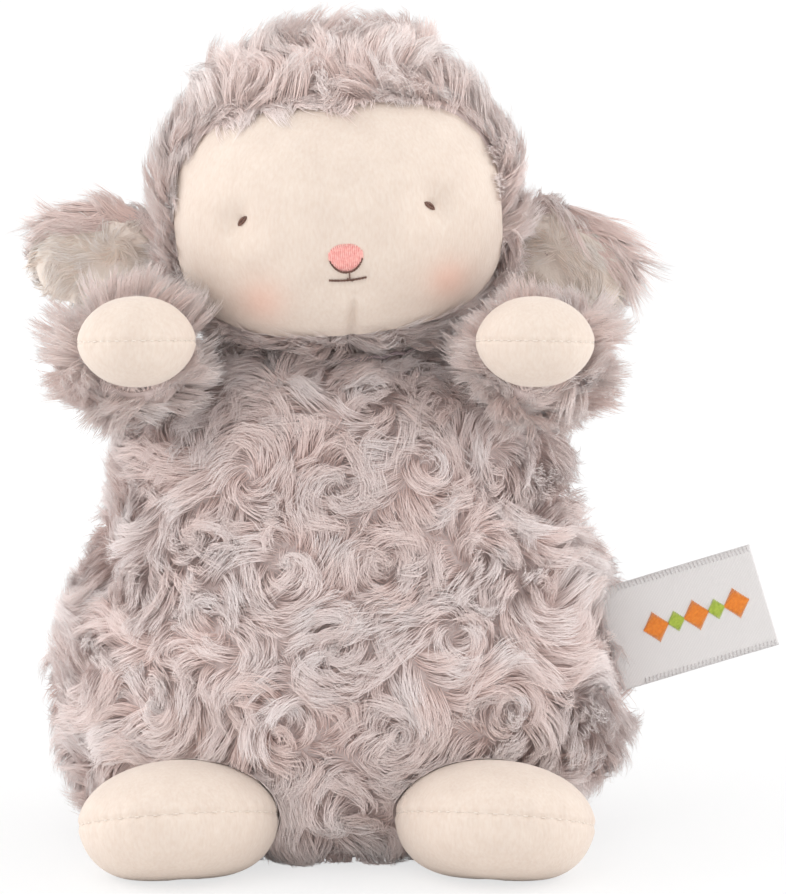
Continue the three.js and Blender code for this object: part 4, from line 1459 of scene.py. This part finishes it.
def lumpy(name, node_name, made, voxel):
    mesh = frame["nodes"][node_name].data.copy()
    mesh.materials.clear()
    piece = linked(name, mesh, made)
    remesh = piece.modifiers.new("even", "REMESH")
    remesh.voxel_size = voxel * MM
    soften = piece.modifiers.new("soft", "SMOOTH")
    soften.iterations = 8
    lumps = bpy.data.textures.new(f"{name}_lumps", "CLOUDS")
    lumps.noise_scale = LUMP_SIZE * MM
    push = piece.modifiers.new("lumps", "DISPLACE")
    push.texture = lumps
    push.mid_level = 1.0
    push.strength = LUMP_DEPTH * MM
    return piece


def make_neck():
    """The thread that gathers the body's opening to the head: a running stitch round the neck."""
    low, high = (np.array(corner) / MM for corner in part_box("neck_seam_thread"))
    middle = (low + high) / 2
    radius = (high[0] - low[0]) / 2 - 0.6
    turns = np.linspace(0, 2 * np.pi, 241)[:-1]
    sway = 0.35 * np.sin(NECK_STITCHES * turns)
    local = np.stack([(radius + sway) * np.cos(turns), (radius + sway) * np.sin(turns),
                      0.3 * np.cos(NECK_STITCHES * turns)], axis=1)
    path = HEAD.along(local) + middle
    points, faces = tube(np.concatenate([path, path[:1]]), NECK_THREAD)
    add(mesh_piece("neck_gather_thread", points, faces, SEAM_THREAD), "neck_seam", "seam_thread",
        "neck_seam_thread")


# Stage

def make_stage():
    world = bpy.data.worlds.new("studio")
    bpy.context.scene.world = world
    world.use_nodes = True
    tree = world.node_tree
    soft = tree.nodes["Background"]
    soft.inputs["Color"].default_value = (1, 1, 1, 1)
    soft.inputs["Strength"].default_value = SKY
    white = node(tree, "Background", {"Strength": 1.0})
    white.inputs["Color"].default_value = (1, 1, 1, 1)
    ray = node(tree, "LightPath")
    mix = node(tree, "MixShader")
    tree.links.new(ray.outputs["Is Camera Ray"], mix.inputs["Fac"])
    tree.links.new(soft.outputs["Background"], mix.inputs[1])
    tree.links.new(white.outputs["Background"], mix.inputs[2])
    tree.links.new(mix.outputs["Shader"], tree.nodes["World Output"].inputs["Surface"])

    for name, values in SUNS.items():
        add_sun(name, *values)

    bpy.ops.mesh.primitive_plane_add(size=FLOOR_SIZE_M)
    floor = bpy.context.object
    floor.name = "floor"
    made, tree, shader = material("floor", roughness=0.9)
    shader.inputs["Base Color"].default_value = (FLOOR_GREY, FLOOR_GREY, FLOOR_GREY, 1)
    glow = node(tree, "Emission", {"Strength": 1.0})
    ray = node(tree, "LightPath")
    shown = node(tree, "Math", operation="MULTIPLY")
    shown.inputs[1].default_value = FLOOR_GLOW
    tree.links.new(ray.outputs["Is Camera Ray"], shown.inputs[0])
    mix = node(tree, "MixShader")
    tree.links.new(shown.outputs["Value"], mix.inputs["Fac"])
    tree.links.new(shader.outputs["BSDF"], mix.inputs[1])
    tree.links.new(glow.outputs["Emission"], mix.inputs[2])
    tree.links.new(mix.outputs["Shader"], tree.nodes["Material Output"].inputs["Surface"])
    floor.data.materials.append(made)


def add_sun(name, strength, spread, source):
    lamp = bpy.data.lights.new(name, "SUN")
    lamp.energy = strength
    lamp.angle = math.radians(spread)
    sun = bpy.data.objects.new(name, lamp)
    sun.rotation_euler = Vector(source).to_track_quat("Z", "Y").to_euler()
    bpy.context.scene.collection.objects.link(sun)


def make_camera():
    lens = bpy.data.cameras.new("view")
    lens.sensor_width = SENSOR
    lens.lens = SENSOR * CAMERA_DISTANCE / VIEW_HEIGHT
    lens.clip_end = FARTHEST_SEEN_M
    camera = bpy.data.objects.new("view", lens)
    lift = math.radians(CAMERA_ELEVATION)
    back = Vector((0, -math.cos(lift), math.sin(lift)))
    camera.location = (Vector(VIEW_CENTRE) + back * CAMERA_DISTANCE) * MM
    camera.rotation_euler = back.to_track_quat("Z", "Y").to_euler()
    bpy.context.scene.collection.objects.link(camera)
    bpy.context.scene.camera = camera


bpy.context.scene.view_settings.view_transform = "Standard"
make_camera()
make_stage()
make_torso()
make_neck()
make_face()
make_features()
make_hood()
for limb, limb_side in SIDES.items():
    make_ear(limb, limb_side)
    make_arm(limb, limb_side)
    make_foot(limb)
make_label()
make_fillings()
